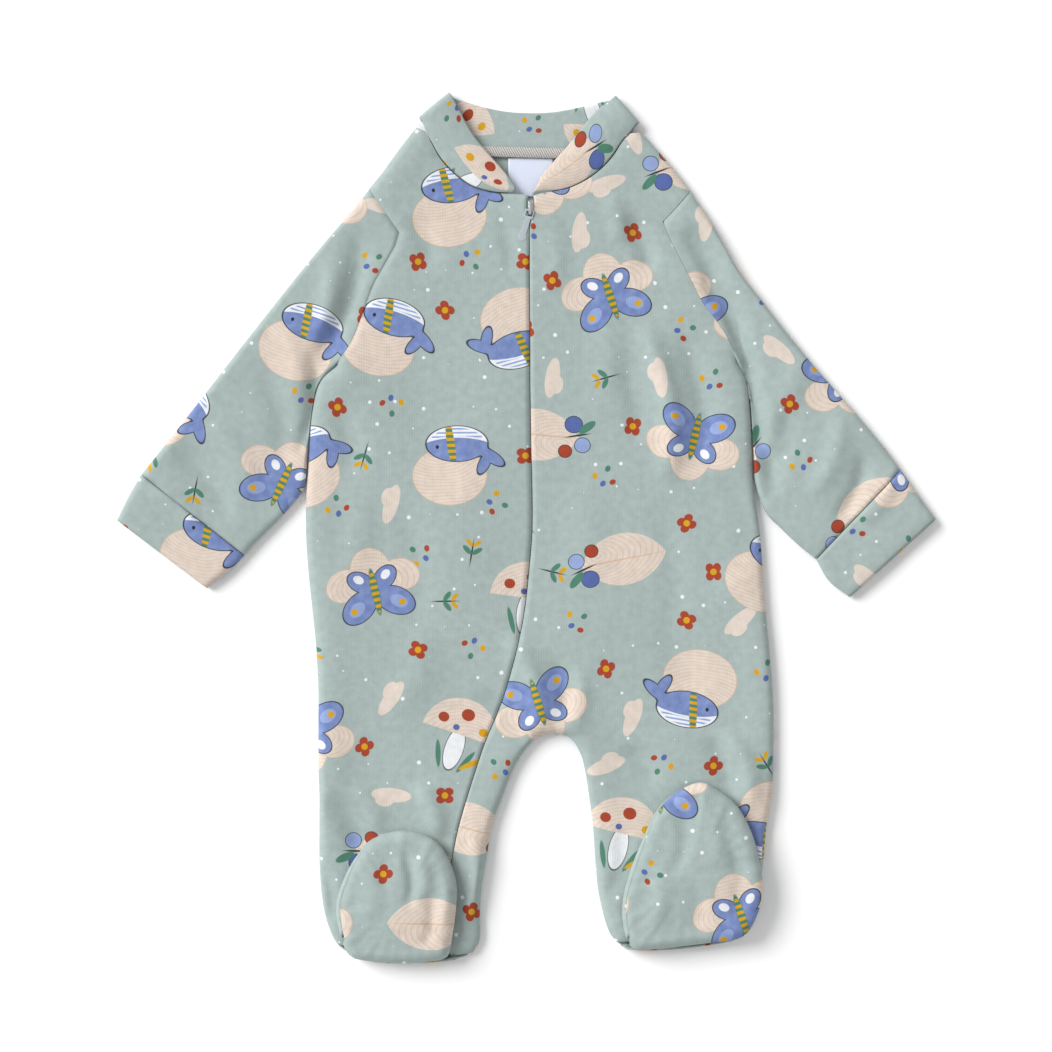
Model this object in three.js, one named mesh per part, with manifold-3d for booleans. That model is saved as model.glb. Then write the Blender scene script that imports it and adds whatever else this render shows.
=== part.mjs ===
// Footed baby sleepsuit with a zip from neck to ankle, laid flat on its back. Millimetres.
// +Z is up, +Y runs towards the neck, +X towards the wearer's left. The underside rests at z = 0.
// Every cloth piece is a thin wall: its outer points are worked out first, then moved in by the
// cloth's thickness. "Right" and "left" in names are the wearer's.
import * as THREE from 'three';
import { mergeVertices } from 'three/addons/utils/BufferGeometryUtils.js';
import Module from 'manifold-3d';

// Driving dimensions
const clothWall = 1.2;
const bandWall = 2.2;          // collar and cuffs are a band folded double
const tapeWall = 1.0;          // zip tape, label and neck seam strip
const seamGap = 0.3;
const bodyHeight = 5.8;        // front panels above the table
const cuffHeight = 6.4;
const collarHeight = 7.4;      // front of the collar above the table
const zipOpening = 0.8;        // between the two front edges over the zip
const zipTapeWidth = 22;
const footTop = 13.4;          // crown of a folded-up foot
const heelRadius = 6;          // how far the heel's fold rounds in from its edge
const footRimRadius = 5;
const creaseY = -236;          // where the foot folds back over the leg

// The slider sits at the top of the zip
const sliderPlace = { x: 2.6, y: 184.6 };
const sliderSize = { width: 8, length: 10.4, bottom: 1.9, top: 5.3 };
const sliderLift = 1.5;        // how much the front rises over the slider
const sliderSpread = 11;       // how far from the slider that rise is felt
const bridge = { width: 1.6, length: 7.4, bar: 1, top: 10.2 };
const pull = {
  length: 18, eyeWidth: 3.8, eyeLength: 3.8, arm: 0.8, pin: 1.2, thick: 1.2, neck: 3.4, tip: 4.8,
};
const pullLies = { turn: -17, dip: 5, above: 3.1, fromPost: 2.3 };

// Torso, from the shoulder's neck end down to the crotch. Columns: right edge, right front's inner
// edge (neckline, then zip), left front's inner edge, left edge, and how far the back's row dips.
const torsoTable = [
  { right: [-63.0, 231.8], openR: [-57.8, 229.2], openL: [60.5, 228.0], left: [67.2, 228.7], dip: 12.8 },
  { right: [-67.6, 226.5], openR: [-53.6, 221.2], openL: [56.0, 223.2], left: [71.0, 224.7], dip: 13.4 },
  { right: [-75.1, 216.6], openR: [-48.6, 212.9], openL: [50.9, 215.5], left: [79.2, 215.5], dip: 10 },
  { right: [-82.6, 206.2], openR: [-40.6, 204.5], openL: [43.8, 207.6], left: [87.3, 205.6], dip: 6 },
  { right: [-90.5, 196.3], openR: [-31.0, 197.7], openL: [34.5, 200.8], left: [95.4, 195.2], dip: 2.3 },
  { right: [-82.1, 184.1], openR: [-19.0, 194.2], openL: [24.0, 196.2], left: [87.3, 185.9], dip: 0 },
  { right: [-72.8, 170.8], openR: [-7.0, 193.4], openL: [12.5, 194.0], left: [79.2, 177.2], dip: 0 },
  { right: [-75.1, 163.3], openR: [1.6, 192.4], openL: [4.6, 191.9], left: [82.1, 169.6], dip: 0 },
  { right: [-80.3, 154.0], zip: [2.5, 177], left: [86.7, 160.4], dip: 0 },
  { right: [-87.9, 140.6], zip: [2.3, 158], left: [94.2, 145.9], dip: 0 },
  { right: [-93.7, 125.0], zip: [2.3, 136], left: [102.4, 130.2], dip: 0 },
  { right: [-100.6, 107.6], zip: [2.5, 114], left: [114.0, 114.5], dip: 0 },
  { right: [-109.9, 94.2], zip: [2.6, 97], left: [122.7, 96.6], dip: 0 },
  { right: [-119.2, 83.8], zip: [2.6, 83], left: [127.9, 83.8], dip: 0 },
  { right: [-123.5, 65.8], zip: [2.9, 65.8], left: [129.9, 65.8], dip: 0 },
  { right: [-125.0, 45.5], zip: [3.2, 45.5], left: [130.8, 45.5], dip: 0 },
  { right: [-126.7, 22.3], zip: [3.8, 22.3], left: [131.9, 22.3], dip: 0 },
  { right: [-127.0, -0.9], zip: [3.8, -0.9], left: [135.4, -0.9], dip: 0 },
  { right: [-125.6, -24.1], zip: [2.0, -24.1], left: [137.2, -24.1], dip: 0 },
  { right: [-123.2, -47.3], zip: [-0.6, -47.3], left: [138.9, -47.3], dip: 0 },
  { right: [-120.9, -70.5], zip: [-5.2, -70.5], left: [141.2, -70.5], dip: 0 },
  { right: [-119.8, -93.7], zip: [-11.6, -93.7], left: [143.0, -93.7], dip: 0 },
  { right: [-119.8, -108.0], zip: [-16.8, -108.0], left: [143.5, -108.0], dip: 0 },
  { right: [-119.8, -114.6], zip: [-19.8, -114.6], left: [143.5, -114.6], dip: 0 },
];
const shoulderTipRow = 4;
const zipTopRow = 7;
const underarmRow = 12;

// Legs, from the crotch down. Columns: right leg's outer edge, zip, right leg's inner edge,
// left leg's inner edge, left leg's outer edge.
const crotch = [17, -118.3];
const legTable = [
  { right: [-119.8, -118.3], zip: [-21.3, -118.3], innerR: crotch, innerL: crotch, left: [143.5, -118.3] },
  {
    right: [-119.8, -121.6], zip: [-22.6, -121.6],
    innerR: [7.6, -120.4], innerL: [25.6, -121.0], left: [143.5, -121.6],
  },
  {
    right: [-119.8, -128.5], zip: [-25.2, -128.5],
    innerR: [-0.2, -128.0], innerL: [31.6, -129.6], left: [143.5, -128.5],
  },
  {
    right: [-119.8, -140.1], zip: [-29.0, -140.1],
    innerR: [-7.2, -139.5], innerL: [34.5, -140.1], left: [143.3, -140.1],
  },
  {
    right: [-119.2, -154.6], zip: [-33.6, -154.6],
    innerR: [-13.3, -155.1], innerL: [36.8, -154.6], left: [142.7, -154.6],
  },
  {
    right: [-119.2, -172.0], zip: [-38.6, -172.0],
    innerR: [-19.4, -172.0], innerL: [39.1, -172.0], left: [139.5, -172.0],
  },
  {
    right: [-119.2, -189.4], zip: [-42.3, -189.4],
    innerR: [-22.3, -189.4], innerL: [40.3, -189.4], left: [137.8, -189.4],
  },
  {
    right: [-118.3, -206.8], zip: [-46.1, -206.8],
    innerR: [-25.2, -206.8], innerL: [41.8, -206.8], left: [136.0, -206.8],
  },
  {
    right: [-116.3, -221.3], zip: [-49.5, -221.3],
    innerR: [-26.4, -222.4], innerL: [44.4, -220.1], left: [133.7, -220.1],
  },
  {
    right: [-112.8, -232.9], zip: [-52.0, -232.9],
    innerR: [-26.4, -235.8], innerL: [47.8, -231.7], left: [129.6, -228.0],
  },
];
// The front legs end at the crease under the folded foot, the back legs at the heel.
const frontLegEnd = {
  right: [-110.5, -236.5], zip: [-52.9, -239.0],
  innerR: [-28.4, -241.8], innerL: [50.4, -235.8], left: [124.6, -232.4],
};
const backLegEnd = {
  right: [[-108.2, -241.0], [-100.6, -246.6]], innerR: [[-28.3, -241.8], [-33.4, -246.4]],
  innerL: [[50.6, -236.6], [55.4, -241.2]], left: [[126.4, -231.6], [121.4, -235.6]],
  heelBulge: 4,
};

// Sleeves: outer (top of the arm) and inner (underarm) edges from armhole to cuff.
const sleeveRightTable = [
  { outer: [-104.7, 178.9], inner: [-119.9, 84.1] },
  { outer: [-120.3, 160.4], inner: [-123.0, 73.4] },
  { outer: [-135.4, 141.8], inner: [-125.2, 57.1] },
  { outer: [-150.5, 122.7], inner: [-126.3, 40.9] },
  { outer: [-165.6, 103.5], inner: [-127.9, 24.1] },
  { outer: [-179.5, 85.5], inner: [-136.6, 11.9] },
  { outer: [-193.4, 67.6], inner: [-147.0, 0.9] },
  { outer: [-208.5, 48.4], inner: [-156.3, -8.4] },
  { outer: [-222.0, 31.4], inner: [-162.4, -15.4] },
];
const sleeveLeftTable = [
  { outer: [107.6, 176.6], inner: [128.6, 85.0] },
  { outer: [122.1, 151.1], inner: [130.3, 70.6] },
  { outer: [136.0, 132.5], inner: [131.2, 56.0] },
  { outer: [150.5, 114.0], inner: [132.0, 41.5] },
  { outer: [163.8, 97.7], inner: [132.9, 26.4] },
  { outer: [177.8, 81.5], inner: [138.9, 9.6] },
  { outer: [191.7, 65.8], inner: [147.6, 0.3] },
  { outer: [205.6, 49.0], inner: [158.0, -9.6] },
  { outer: [216.9, 34.2], inner: [168.0, -17.6] },
];
const cuffRightTable = [
  { outer: [-222.6, 30.7], inner: [-163.0, -16.1] },
  { outer: [-229.6, 18.3], inner: [-173.1, -26.0] },
  { outer: [-236.3, 4.9], inner: [-184.1, -34.5] },
];
const cuffLeftTable = [
  { outer: [217.6, 33.4], inner: [168.6, -18.4] },
  { outer: [227.4, 19.0], inner: [175.6, -30.4] },
  { outer: [237.5, 5.5], inner: [187.6, -39.7] },
];

// Collar: the folded edge beside each neckline row, then its two top corners and the back's edge.
const collarRightEdge = [
  { row: 6, edge: [-5.6, 197.2] }, { row: 5, edge: [-10.0, 203.4] }, { row: 4, edge: [-15.9, 210.2] },
  { row: 3, edge: [-22.9, 218.2] }, { row: 2, edge: [-30.4, 227.6] }, { row: 1, edge: [-36.0, 237.2] },
  { row: 0, edge: [-40.2, 245.6] },
];
const collarLeftEdge = [
  { row: 0, edge: [48.0, 246.6] }, { row: 1, edge: [44.2, 243.8] }, { row: 2, edge: [38.6, 238.6] },
  { row: 3, edge: [31.6, 230.0] }, { row: 4, edge: [23.5, 219.8] }, { row: 5, edge: [16.0, 211.6] },
  { row: 6, edge: [9.0, 203.4] }, { row: 7, edge: [5.6, 196.6] },
];
const collarCornerRight = { seam: [-59.8, 235.4], edge: [-42.3, 249.7], away: [-0.61, 0.79] };
const collarCornerLeft = { seam: [63.6, 232.8], edge: [49.9, 248.2], away: [0.72, 0.69] };
const collarBackEdge = [
  { across: 0.1, edge: [-36.0, 247.4] }, { across: 0.26, edge: [-22.0, 243.4] },
  { across: 0.42, edge: [-7.0, 240.9] }, { across: 0.58, edge: [12.0, 240.7] },
  { across: 0.74, edge: [27.0, 242.9] }, { across: 0.9, edge: [43.0, 246.6] },
];

// Outline of each folded-up foot, seen from above, round from the inner heel.
const footRightRim = [
  [-45, -246.6], [-42.0, -234], [-39.8, -217], [-39.8, -203], [-45.2, -188], [-54, -178], [-71, -173.7],
  [-88, -178.4], [-96.6, -187.6], [-103.4, -199], [-108.6, -215], [-107.2, -231], [-101.6, -245.6],
  [-88, -249.6], [-72, -250.6], [-57, -249.6],
];
const footLeftRim = [
  [123.8, -235.2], [131.6, -226], [136.6, -208], [133.2, -185.6], [128.3, -171], [121, -158.6],
  [111, -150.6],
  [100.4, -145.9], [87, -151.4], [75.4, -162], [67.4, -178.6], [60.4, -196], [56.0, -213], [56.2, -228],
  [61.4, -241.4], [76, -242.2], [93, -240.4], [109, -238],
];

// Largest folds of the front: ridges (and one trough) along a line.
const foldTable = [
  { from: [70, 112], to: [83, 34], height: 1.8, reach: 6 },
  { from: [93, 106], to: [101, 40], height: -1.0, reach: 7 },
  { from: [-6, -66], to: [9, -112], height: 1.4, reach: 6 },
  { from: [118, -120], to: [130, -158], height: 1.5, reach: 6 },
  { from: [-60, -150], to: [-50, -176], height: 1.2, reach: 6 },
];

// Plain vector helpers on [x, y] pairs
const mix = (a, b, t) => a + (b - a) * t;
const mixPoint = (a, b, t) => [mix(a[0], b[0], t), mix(a[1], b[1], t)];
const shift = (p, dx, dy) => [p[0] + dx, p[1] + dy];
const span = (a, b) => Math.hypot(b[0] - a[0], b[1] - a[1]);
const limit = (value) => Math.min(1, Math.max(0, value));
const ease = (t) => limit(t) ** 2 * (3 - 2 * limit(t));
// Height of a quarter round at a share of its radius in from its edge
const round = (share) => Math.sqrt(1 - (1 - limit(share)) ** 2);
const roundSteps = [0, 0.134, 0.5];

function distanceToSegment(p, a, b) {
  const length2 = span(a, b) ** 2;
  const along = length2 ? ((p[0] - a[0]) * (b[0] - a[0]) + (p[1] - a[1]) * (b[1] - a[1])) / length2 : 0;
  return span(p, mixPoint(a, b, limit(along)));
}

function distanceToPath(p, path) {
  let nearest = Infinity;
  for (let i = 0; i + 1 < path.length; i += 1) {
    nearest = Math.min(nearest, distanceToSegment(p, path[i], path[i + 1]));
  }
  return nearest;
}

const distanceToPaths = (p, paths) => Math.min(...paths.map((path) => distanceToPath(p, path)));

// A closed wall from its outer faces: the same faces one thickness further in, and the edges between.
// steer may turn a point's normal, so that two pieces meet face to face at their seam.
function wall(points, faces, thickness, steer = (point, normal) => normal) {
  const normals = points.map(() => new THREE.Vector3());
  for (const face of faces) {
    const [a, b, c] = face;
    const d = face[3] ?? c;
    const first = new THREE.Vector3().subVectors(points[c], points[a]);
    const second = new THREE.Vector3().subVectors(points[d], points[b]);
    const normal = face.length === 4
      ? first.cross(second)
      : new THREE.Vector3().subVectors(points[b], points[a]).cross(first);
    new Set(face).forEach((index) => normals[index].add(normal));
  }
  const inner = points.map((point, index) => {
    const normal = steer(point, normals[index]).normalize();
    return point.clone().addScaledVector(normal, -thickness);
  });
  const triangles = [];
  const count = points.length;
  const addFace = (a, b, c) => triangles.push(a, b, c);
  const edges = new Set();
  for (const face of faces) {
    for (let i = 1; i + 1 < face.length; i += 1) {
      addFace(face[0], face[i], face[i + 1]);
      addFace(face[0] + count, face[i + 1] + count, face[i] + count);
    }
    face.forEach((index, i) => edges.add(`${index},${face[(i + 1) % face.length]}`));
  }
  for (const edge of edges) {
    const [a, b] = edge.split(',').map(Number);
    if (edges.has(`${b},${a}`)) continue;
    addFace(b, a, a + count);
    addFace(b, a + count, b + count);
  }
  const geometry = new THREE.BufferGeometry();
  geometry.setAttribute('position', new THREE.Float32BufferAttribute(
    [...points, ...inner].flatMap((point) => point.toArray()), 3));
  geometry.setIndex(triangles);
  geometry.computeVertexNormals();
  return geometry;
}

// Joins grids of [x, y, z] points into one set of points and faces. Equal points become one.
function weld(grids, facingUp) {
  const points = [];
  const known = new Map();
  const indexOf = (point) => {
    const key = point.map((value) => value.toFixed(3)).join(',');
    if (!known.has(key)) {
      known.set(key, points.length);
      points.push(new THREE.Vector3(...point));
    }
    return known.get(key);
  };
  const faces = [];
  for (const grid of grids) {
    for (let row = 0; row + 1 < grid.length; row += 1) {
      for (let column = 0; column + 1 < grid[row].length; column += 1) {
        const [upper, lower] = [grid[row], grid[row + 1]];
        const corners = [upper[column], lower[column], lower[column + 1], upper[column + 1]];
        const face = [...new Set(corners.map(indexOf))];
        if (face.length > 2) faces.push(facingUp ? face : face.reverse());
      }
    }
  }
  return { points, faces };
}

// Points of one row from a to b: close together where an end rounds over, even between.
function rowPoints(a, b, count, roundAtStart, roundAtEnd) {
  const length = span(a, b);
  const start = roundAtStart ? roundAtStart / length : 0;
  const end = roundAtEnd ? roundAtEnd / length : 0;
  const shares = [];
  if (start) roundSteps.forEach((step) => shares.push(step * start));
  for (let i = 0; i <= count; i += 1) shares.push(mix(start, 1 - end, i / count));
  if (end) [...roundSteps].reverse().forEach((step) => shares.push(1 - step * end));
  return shares.map((share) => mixPoint(a, b, share));
}

// The zip's line, and each front's edge beside it. The opening widens at the slider.
const nearSlider = (p) => Math.exp(-((span(p, [sliderPlace.x, sliderPlace.y]) / sliderSpread) ** 2));
const halfOpening = (p) => zipOpening / 2 + 1.4 * nearSlider(p) ** 3;
const zipEdgeRight = (row) => row.openR ?? shift(row.zip, -halfOpening(row.zip), 0);
const zipEdgeLeft = (row) => row.openL ?? shift(row.zip, halfOpening(row.zip), 0);

// Height of the front's outer face above the table, away from its rounded edges.
function frontTop(p) {
  let height = bodyHeight + sliderLift * nearSlider(p);
  for (const fold of foldTable) {
    const length2 = span(fold.from, fold.to) ** 2;
    const along = limit(((p[0] - fold.from[0]) * (fold.to[0] - fold.from[0])
      + (p[1] - fold.from[1]) * (fold.to[1] - fold.from[1])) / length2);
    const away = span(p, mixPoint(fold.from, fold.to, along)) / fold.reach;
    height += fold.height * Math.exp(-(away ** 2)) * Math.sin(Math.PI * mix(0.12, 0.88, along));
  }
  return height;
}

// Edges where front and back meet and round over, seen from above
const rimRadius = bodyHeight / 2;
const shoulderRim = (side) => torsoTable.slice(0, shoulderTipRow + 1).map((row) => row[side]);
const sideRim = (side) => [...torsoTable.slice(underarmRow), ...legTable].map((row) => row[side]);
const crotchRim = [...legTable.map((row) => row.innerR).reverse(), ...legTable.map((row) => row.innerL)];
const ankleRim = [legTable.at(-1).innerR, frontLegEnd.innerR, [-40, -243.5]];
const frontRims = [
  shoulderRim('right'), shoulderRim('left'), [...sideRim('right'), frontLegEnd.right],
  [...sideRim('left'), frontLegEnd.left], crotchRim, ankleRim, [legTable.at(-1).innerL, frontLegEnd.innerL],
];

function frontPoint(p) {
  const rimHeight = (bodyHeight + seamGap) / 2;
  const share = distanceToPaths(p, frontRims) / rimRadius;
  return [...p, mix(rimHeight, frontTop(p), round(share))];
}

// On these edges a wall is moved in level
const levelOn = (rims) => (point, normal) => {
  const onRim = distanceToPaths([point.x, point.y], rims) < 0.01;
  return onRim ? normal.setZ(0) : normal;
};

// Right front: shoulder to ankle, from the side to the zip
function frontRight() {
  const rows = [...torsoTable, ...legTable, frontLegEnd];
  const grid = rows.map((row) => rowPoints(row.right, zipEdgeRight(row), 6, rimRadius, 0).map(frontPoint));
  const { points, faces } = weld([grid], true);
  return wall(points, faces, clothWall, levelOn(frontRims));
}

// Left front: zip to side, with the strip of the right leg inside the zip and the whole left leg
function frontLeft() {
  const crotchShare = 0.232;
  const legRows = [...legTable, frontLegEnd];
  const division = (row) => mixPoint(zipEdgeLeft(row), row.left, crotchShare);
  const nearZip = [
    ...torsoTable.map((row) => rowPoints(zipEdgeLeft(row), division(row), 2, 0, rimRadius)),
    ...legRows.map((row) => rowPoints(zipEdgeLeft(row), row.innerR, 2, 0, rimRadius)),
  ];
  const nearSide = [
    ...torsoTable.map((row) => rowPoints(division(row), row.left, 6, rimRadius, rimRadius)),
    ...legRows.map((row) => rowPoints(row.innerL, row.left, 6, rimRadius, rimRadius)),
  ];
  const grids = [nearZip, nearSide].map((grid) => grid.map((row) => row.map(frontPoint)));
  const { points, faces } = weld(grids, true);
  return wall(points, faces, clothWall, levelOn(frontRims));
}

// The back's edges: the same as the front's, and the heels, where it rises higher
const heelRim = (start, end) => [0, 0.1, 0.2, 0.35, 0.5, 0.65, 0.8, 0.9, 1].map((across) => shift(
  mixPoint(start, end, across), 0, -backLegEnd.heelBulge * Math.abs(Math.sin(Math.PI * across)) ** 0.5));
const heelRims = [
  heelRim(backLegEnd.right[1], backLegEnd.innerR[1]), heelRim(backLegEnd.innerL[1], backLegEnd.left[1]),
];
const backRims = [
  shoulderRim('right'), shoulderRim('left'), [...sideRim('right'), ...backLegEnd.right],
  [...sideRim('left'), ...backLegEnd.left], crotchRim, [legTable.at(-1).innerR, ...backLegEnd.innerR],
  [legTable.at(-1).innerL, ...backLegEnd.innerL],
];

function backPoint(p) {
  const rimHeight = (bodyHeight - seamGap) / 2;
  const heelHeight = (footTop - seamGap) / 2;
  const side = rimHeight * (1 - round(distanceToPaths(p, backRims) / rimRadius));
  const heelAway = distanceToPaths(p, heelRims);
  const heelEnds = heelRims.flatMap((path) => [path[0], path.at(-1)]);
  const middle = ease(Math.min(...heelEnds.map((end) => span(p, end))) / 12);
  const heel = mix(rimHeight, heelHeight, middle) * (1 - round(heelAway / heelRadius));
  return [...p, Math.max(side, heel)];
}

// How a back row dips between its two shoulders: deep and flat over most of its width
const dipShape = (across) => (1 - Math.abs(2 * across - 1) ** 4) ** 0.7;

function backRowPoints(row) {
  const crotchShare = 0.5196;
  const middle = mixPoint(row.right, row.left, crotchShare);
  const halves = [
    rowPoints(row.right, middle, 5, rimRadius, rimRadius),
    rowPoints(middle, row.left, 5, rimRadius, rimRadius),
  ];
  return halves.map((half) => half.map((p) => {
    const across = limit(span(row.right, p) / span(row.right, row.left));
    return shift(p, 0, -row.dip * dipShape(across));
  }));
}

// Back: one piece with both legs, out to where it meets the fronts and the soles' heels
function back() {
  const torsoHalves = torsoTable.map(backRowPoints);
  const legRow = (outer, inner) => rowPoints(outer, inner, 5, rimRadius, rimRadius);
  const heelBands = [1, 0.5, 0.134, 0];
  const heelRow = (start, end, depth) => (band) => legRow(start, end).map((p, index, row) => {
    const bulge = Math.sin((Math.PI * index) / (row.length - 1)) ** 0.5;
    return shift(p, 0, -depth * (1 - band) * Math.max(0, bulge));
  });
  const rightRows = [
    ...legTable.map((row) => legRow(row.right, row.innerR)),
    legRow(backLegEnd.right[0], backLegEnd.innerR[0]),
    ...heelBands.map(heelRow(backLegEnd.right[1], backLegEnd.innerR[1], backLegEnd.heelBulge)),
  ];
  const leftRows = [
    ...legTable.map((row) => legRow(row.innerL, row.left)),
    legRow(backLegEnd.innerL[0], backLegEnd.left[0]),
    ...heelBands.map(heelRow(backLegEnd.innerL[1], backLegEnd.left[1], backLegEnd.heelBulge)),
  ];
  const grids = [
    [...torsoHalves.map((half) => half[0]), ...rightRows],
    [...torsoHalves.map((half) => half[1]), ...leftRows],
  ];
  const { points, faces } = weld(grids.map((grid) => grid.map((row) => row.map(backPoint))), false);
  return wall(points, faces, clothWall, levelOn([...backRims, ...heelRims]));
}

// Flattened tube through rows of two edges. At the first row the points may follow the armhole.
function tube(rows, thickness, topAt, armhole) {
  const { outer, inner } = rows[0];
  const straight = [0, 0.125, 0.25, 0.375, 0.5, 0.625, 0.75, 0.875, 1];
  const stations = armhole ?? straight.map((share) => mixPoint(outer, inner, share));
  const lengthTo = (i) => stations.slice(1, i + 1).reduce((sum, p, k) => sum + span(stations[k], p), 0);
  const lengths = stations.map((_, i) => lengthTo(i));
  const shares = lengths.map((length) => length / lengths.at(-1));
  const bowFade = armhole ? [1, 0.5, 0.2] : [];
  const loops = rows.map((row, rowIndex) => {
    const width = span(row.outer, row.inner);
    const radius = topAt(rowIndex, 0.5) / 2;
    const ends = roundSteps.map((step) => (step * radius) / width);
    const across = [...ends, radius / width, ...shares.slice(1, -1), 1 - radius / width,
      ...[...ends].reverse().map((end) => 1 - end)];
    const planPoint = (share) => {
      const straight = mixPoint(row.outer, row.inner, share);
      const next = Math.max(1, shares.findIndex((value) => value >= share - 1e-9));
      const local = (share - shares[next - 1]) / (shares[next] - shares[next - 1]);
      const onCurve = mixPoint(stations[next - 1], stations[next], local);
      const onChord = mixPoint(stations[0], stations.at(-1), share);
      const fade = bowFade[rowIndex] ?? 0;
      return shift(straight, fade * (onCurve[0] - onChord[0]), fade * (onCurve[1] - onChord[1]));
    };
    const level = (share, side) => {
      const top = topAt(rowIndex, share);
      const curve = round((Math.min(share, 1 - share) * width) / radius);
      return top / 2 + (side * top * curve) / 2;
    };
    const over = across.map((share) => [...planPoint(share), level(share, 1)]);
    const under = across.slice(1, -1).reverse().map((share) => [...planPoint(share), level(share, -1)]);
    return [...over, ...under, over[0]];
  });
  return { loops, thickness };
}

function tubeWall({ loops, thickness }, facingUp) {
  const { points, faces } = weld([loops], facingUp);
  return wall(points, faces, thickness);
}

// The armhole's edge on the body, moved out by the seam's gap
function armholeLine(side, dx) {
  return torsoTable.slice(shoulderTipRow, underarmRow + 1).map((row) => shift(row[side], dx, -0.25));
}

function sleeve(side, table, dx, facingUp) {
  const armhole = armholeLine(side, dx);
  const rows = [{ outer: armhole[0], inner: armhole.at(-1) }, ...table];
  const topAt = (row, share) => mix(bodyHeight, bodyHeight - 0.9 * Math.min(1, row / 2), share);
  return tubeWall(tube(rows, clothWall, topAt, armhole), facingUp);
}

const cuff = (table, facingUp) => tubeWall(tube(table, bandWall, () => cuffHeight, null), facingUp);

// Collar: a double band along the neckline. Its front ends lie on its back, turned at two corners.
function collar() {
  const turns = [0, 45, 90, 135, 180].map((angle) => (angle * Math.PI) / 180);
  const corner = ({ seam, edge, away }, order) => order.map((turn) => {
    const out = (collarHeight / 2) * 0.8 * Math.sin(turn);
    const height = (collarHeight / 2) * (1 + Math.cos(turn));
    const turned = (point) => [...shift(point, out * away[0], out * away[1]), height];
    return [turned(seam), turned(edge)];
  });
  const front = (table, key, dx) => table.map(({ row, edge }) => [
    [...shift(torsoTable[row][key], dx, 0.35), collarHeight], [...edge, collarHeight],
  ]);
  const neckRow = torsoTable[0];
  const behind = collarBackEdge.map(({ across, edge }) => {
    const drop = neckRow.dip * dipShape(across);
    const seam = shift(mixPoint(neckRow.right, neckRow.left, across), 0, 0.6 - drop);
    return [[...seam, 0], [...edge, 0]];
  });
  const rows = [
    ...front(collarRightEdge, 'openR', 0.3), ...corner(collarCornerRight, turns), ...behind,
    ...corner(collarCornerLeft, [...turns].reverse()), ...front(collarLeftEdge, 'openL', -0.6),
  ];
  const steps = [0, 0.25, 0.5, 0.75, 1];
  const between = (seam, edge, step) => seam.map((value, axis) => mix(value, edge[axis], step));
  const grid = rows.map(([seam, edge]) => steps.map((step) => between(seam, edge, step)));
  const { points, faces } = weld([grid], false);
  return wall(points, faces, bandWall);
}

// Seam allowance of the back neck, lying over the seam between back and collar
function neckSeamStrip() {
  const neckRow = torsoTable[0];
  const width = 5;
  const top = 3.9;
  const grid = [0.16, 0.25, 0.34, 0.43, 0.52, 0.61, 0.7, 0.79, 0.86].map((across) => {
    const seam = shift(mixPoint(neckRow.right, neckRow.left, across), 0, -neckRow.dip * dipShape(across));
    return [-1, -0.33, 0.33, 1].map((step) => [...shift(seam, 0, (step * width) / 2), top]);
  });
  const { points, faces } = weld([grid], true);
  return wall(points, faces, tapeWall);
}

// Size label hanging from the back neck seam on the back's inner face
function label() {
  const corner = [-10, 192.2];
  const size = [26, 22.6];
  const top = 2.55;
  const grid = [0, 0.25, 0.5, 0.75, 1].map((up) => [0, 0.25, 0.5, 0.75, 1].map((across) => [
    corner[0] + across * size[0], corner[1] + up * size[1], top]));
  const { points, faces } = weld([grid], false);
  return wall(points, faces, tapeWall);
}

// Both zip tapes with the closed coil between them, just under the fronts
function zipTape() {
  const firstRow = zipTopRow + 1;
  const rows = [...torsoTable.slice(firstRow), ...legTable];
  const half = zipTapeWidth / 2;
  const below = clothWall + seamGap + 0.1;
  const place = (row) => {
    const inside = row.innerR ? (row.innerR[0] - row.zip[0] - 4.5) : half;
    const reach = Math.min(half, inside);
    return [-half, -half / 2, 0, reach / 2, reach].map((offset) => shift(row.zip, offset, 0));
  };
  const grid = rows.map((row) => place(row).map((p) => [...p, frontTop(p) - below]));
  const { points, faces } = weld([grid], true);
  return wall(points, faces, tapeWall);
}

// Feet. The rim of each foot is an oval section: the sole covers its upper part, the upper the rest.
const legTop = bodyHeight + seamGap;
const heelShare = (p) => ease((creaseY - p[1]) / 8);

function footRings(rim, angles, insideShares) {
  const centre = rim.reduce((sum, p) => shift(sum, p[0] / rim.length, p[1] / rim.length), [0, 0]);
  const rings = angles.map((angle) => rim.map((p) => {
    const inward = footRimRadius * (1 - Math.cos(angle(p)));
    return { plan: mixPoint(p, centre, inward / span(p, centre)), angle: angle(p), rim: p };
  }));
  const inside = insideShares.map((share) => rim.map((p) => ({
    plan: mixPoint(p, centre, mix(footRimRadius / span(p, centre), 1, share)), angle: null, rim: p, share,
  })));
  return { rings: [...rings, ...inside], centre };
}

// The seam between sole and upper rides higher along a foot's outer side
function seamAngle(rim) {
  const middle = rim.reduce((sum, p) => sum + p[0] / rim.length, 0);
  const half = Math.max(...rim.map((p) => Math.abs(p[0] - middle)));
  return (p) => ease((middle - p[0]) / half) * (1 - heelShare(p)) * 0.8;
}

// At the seam the walls of sole and upper end along the same slanted line
function alongSeam(ring, centre) {
  return (point, normal) => {
    const onSeam = ring.find((item) => span(item.plan, [point.x, point.y]) < 0.01);
    if (!onSeam) return normal;
    const flat = Math.cos(onSeam.angle) / span(onSeam.rim, centre);
    const across = flat * (onSeam.rim[0] - centre[0]);
    const upward = flat * (onSeam.rim[1] - centre[1]);
    return new THREE.Vector3(across, upward, Math.sin(onSeam.angle));
  };
}

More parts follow.
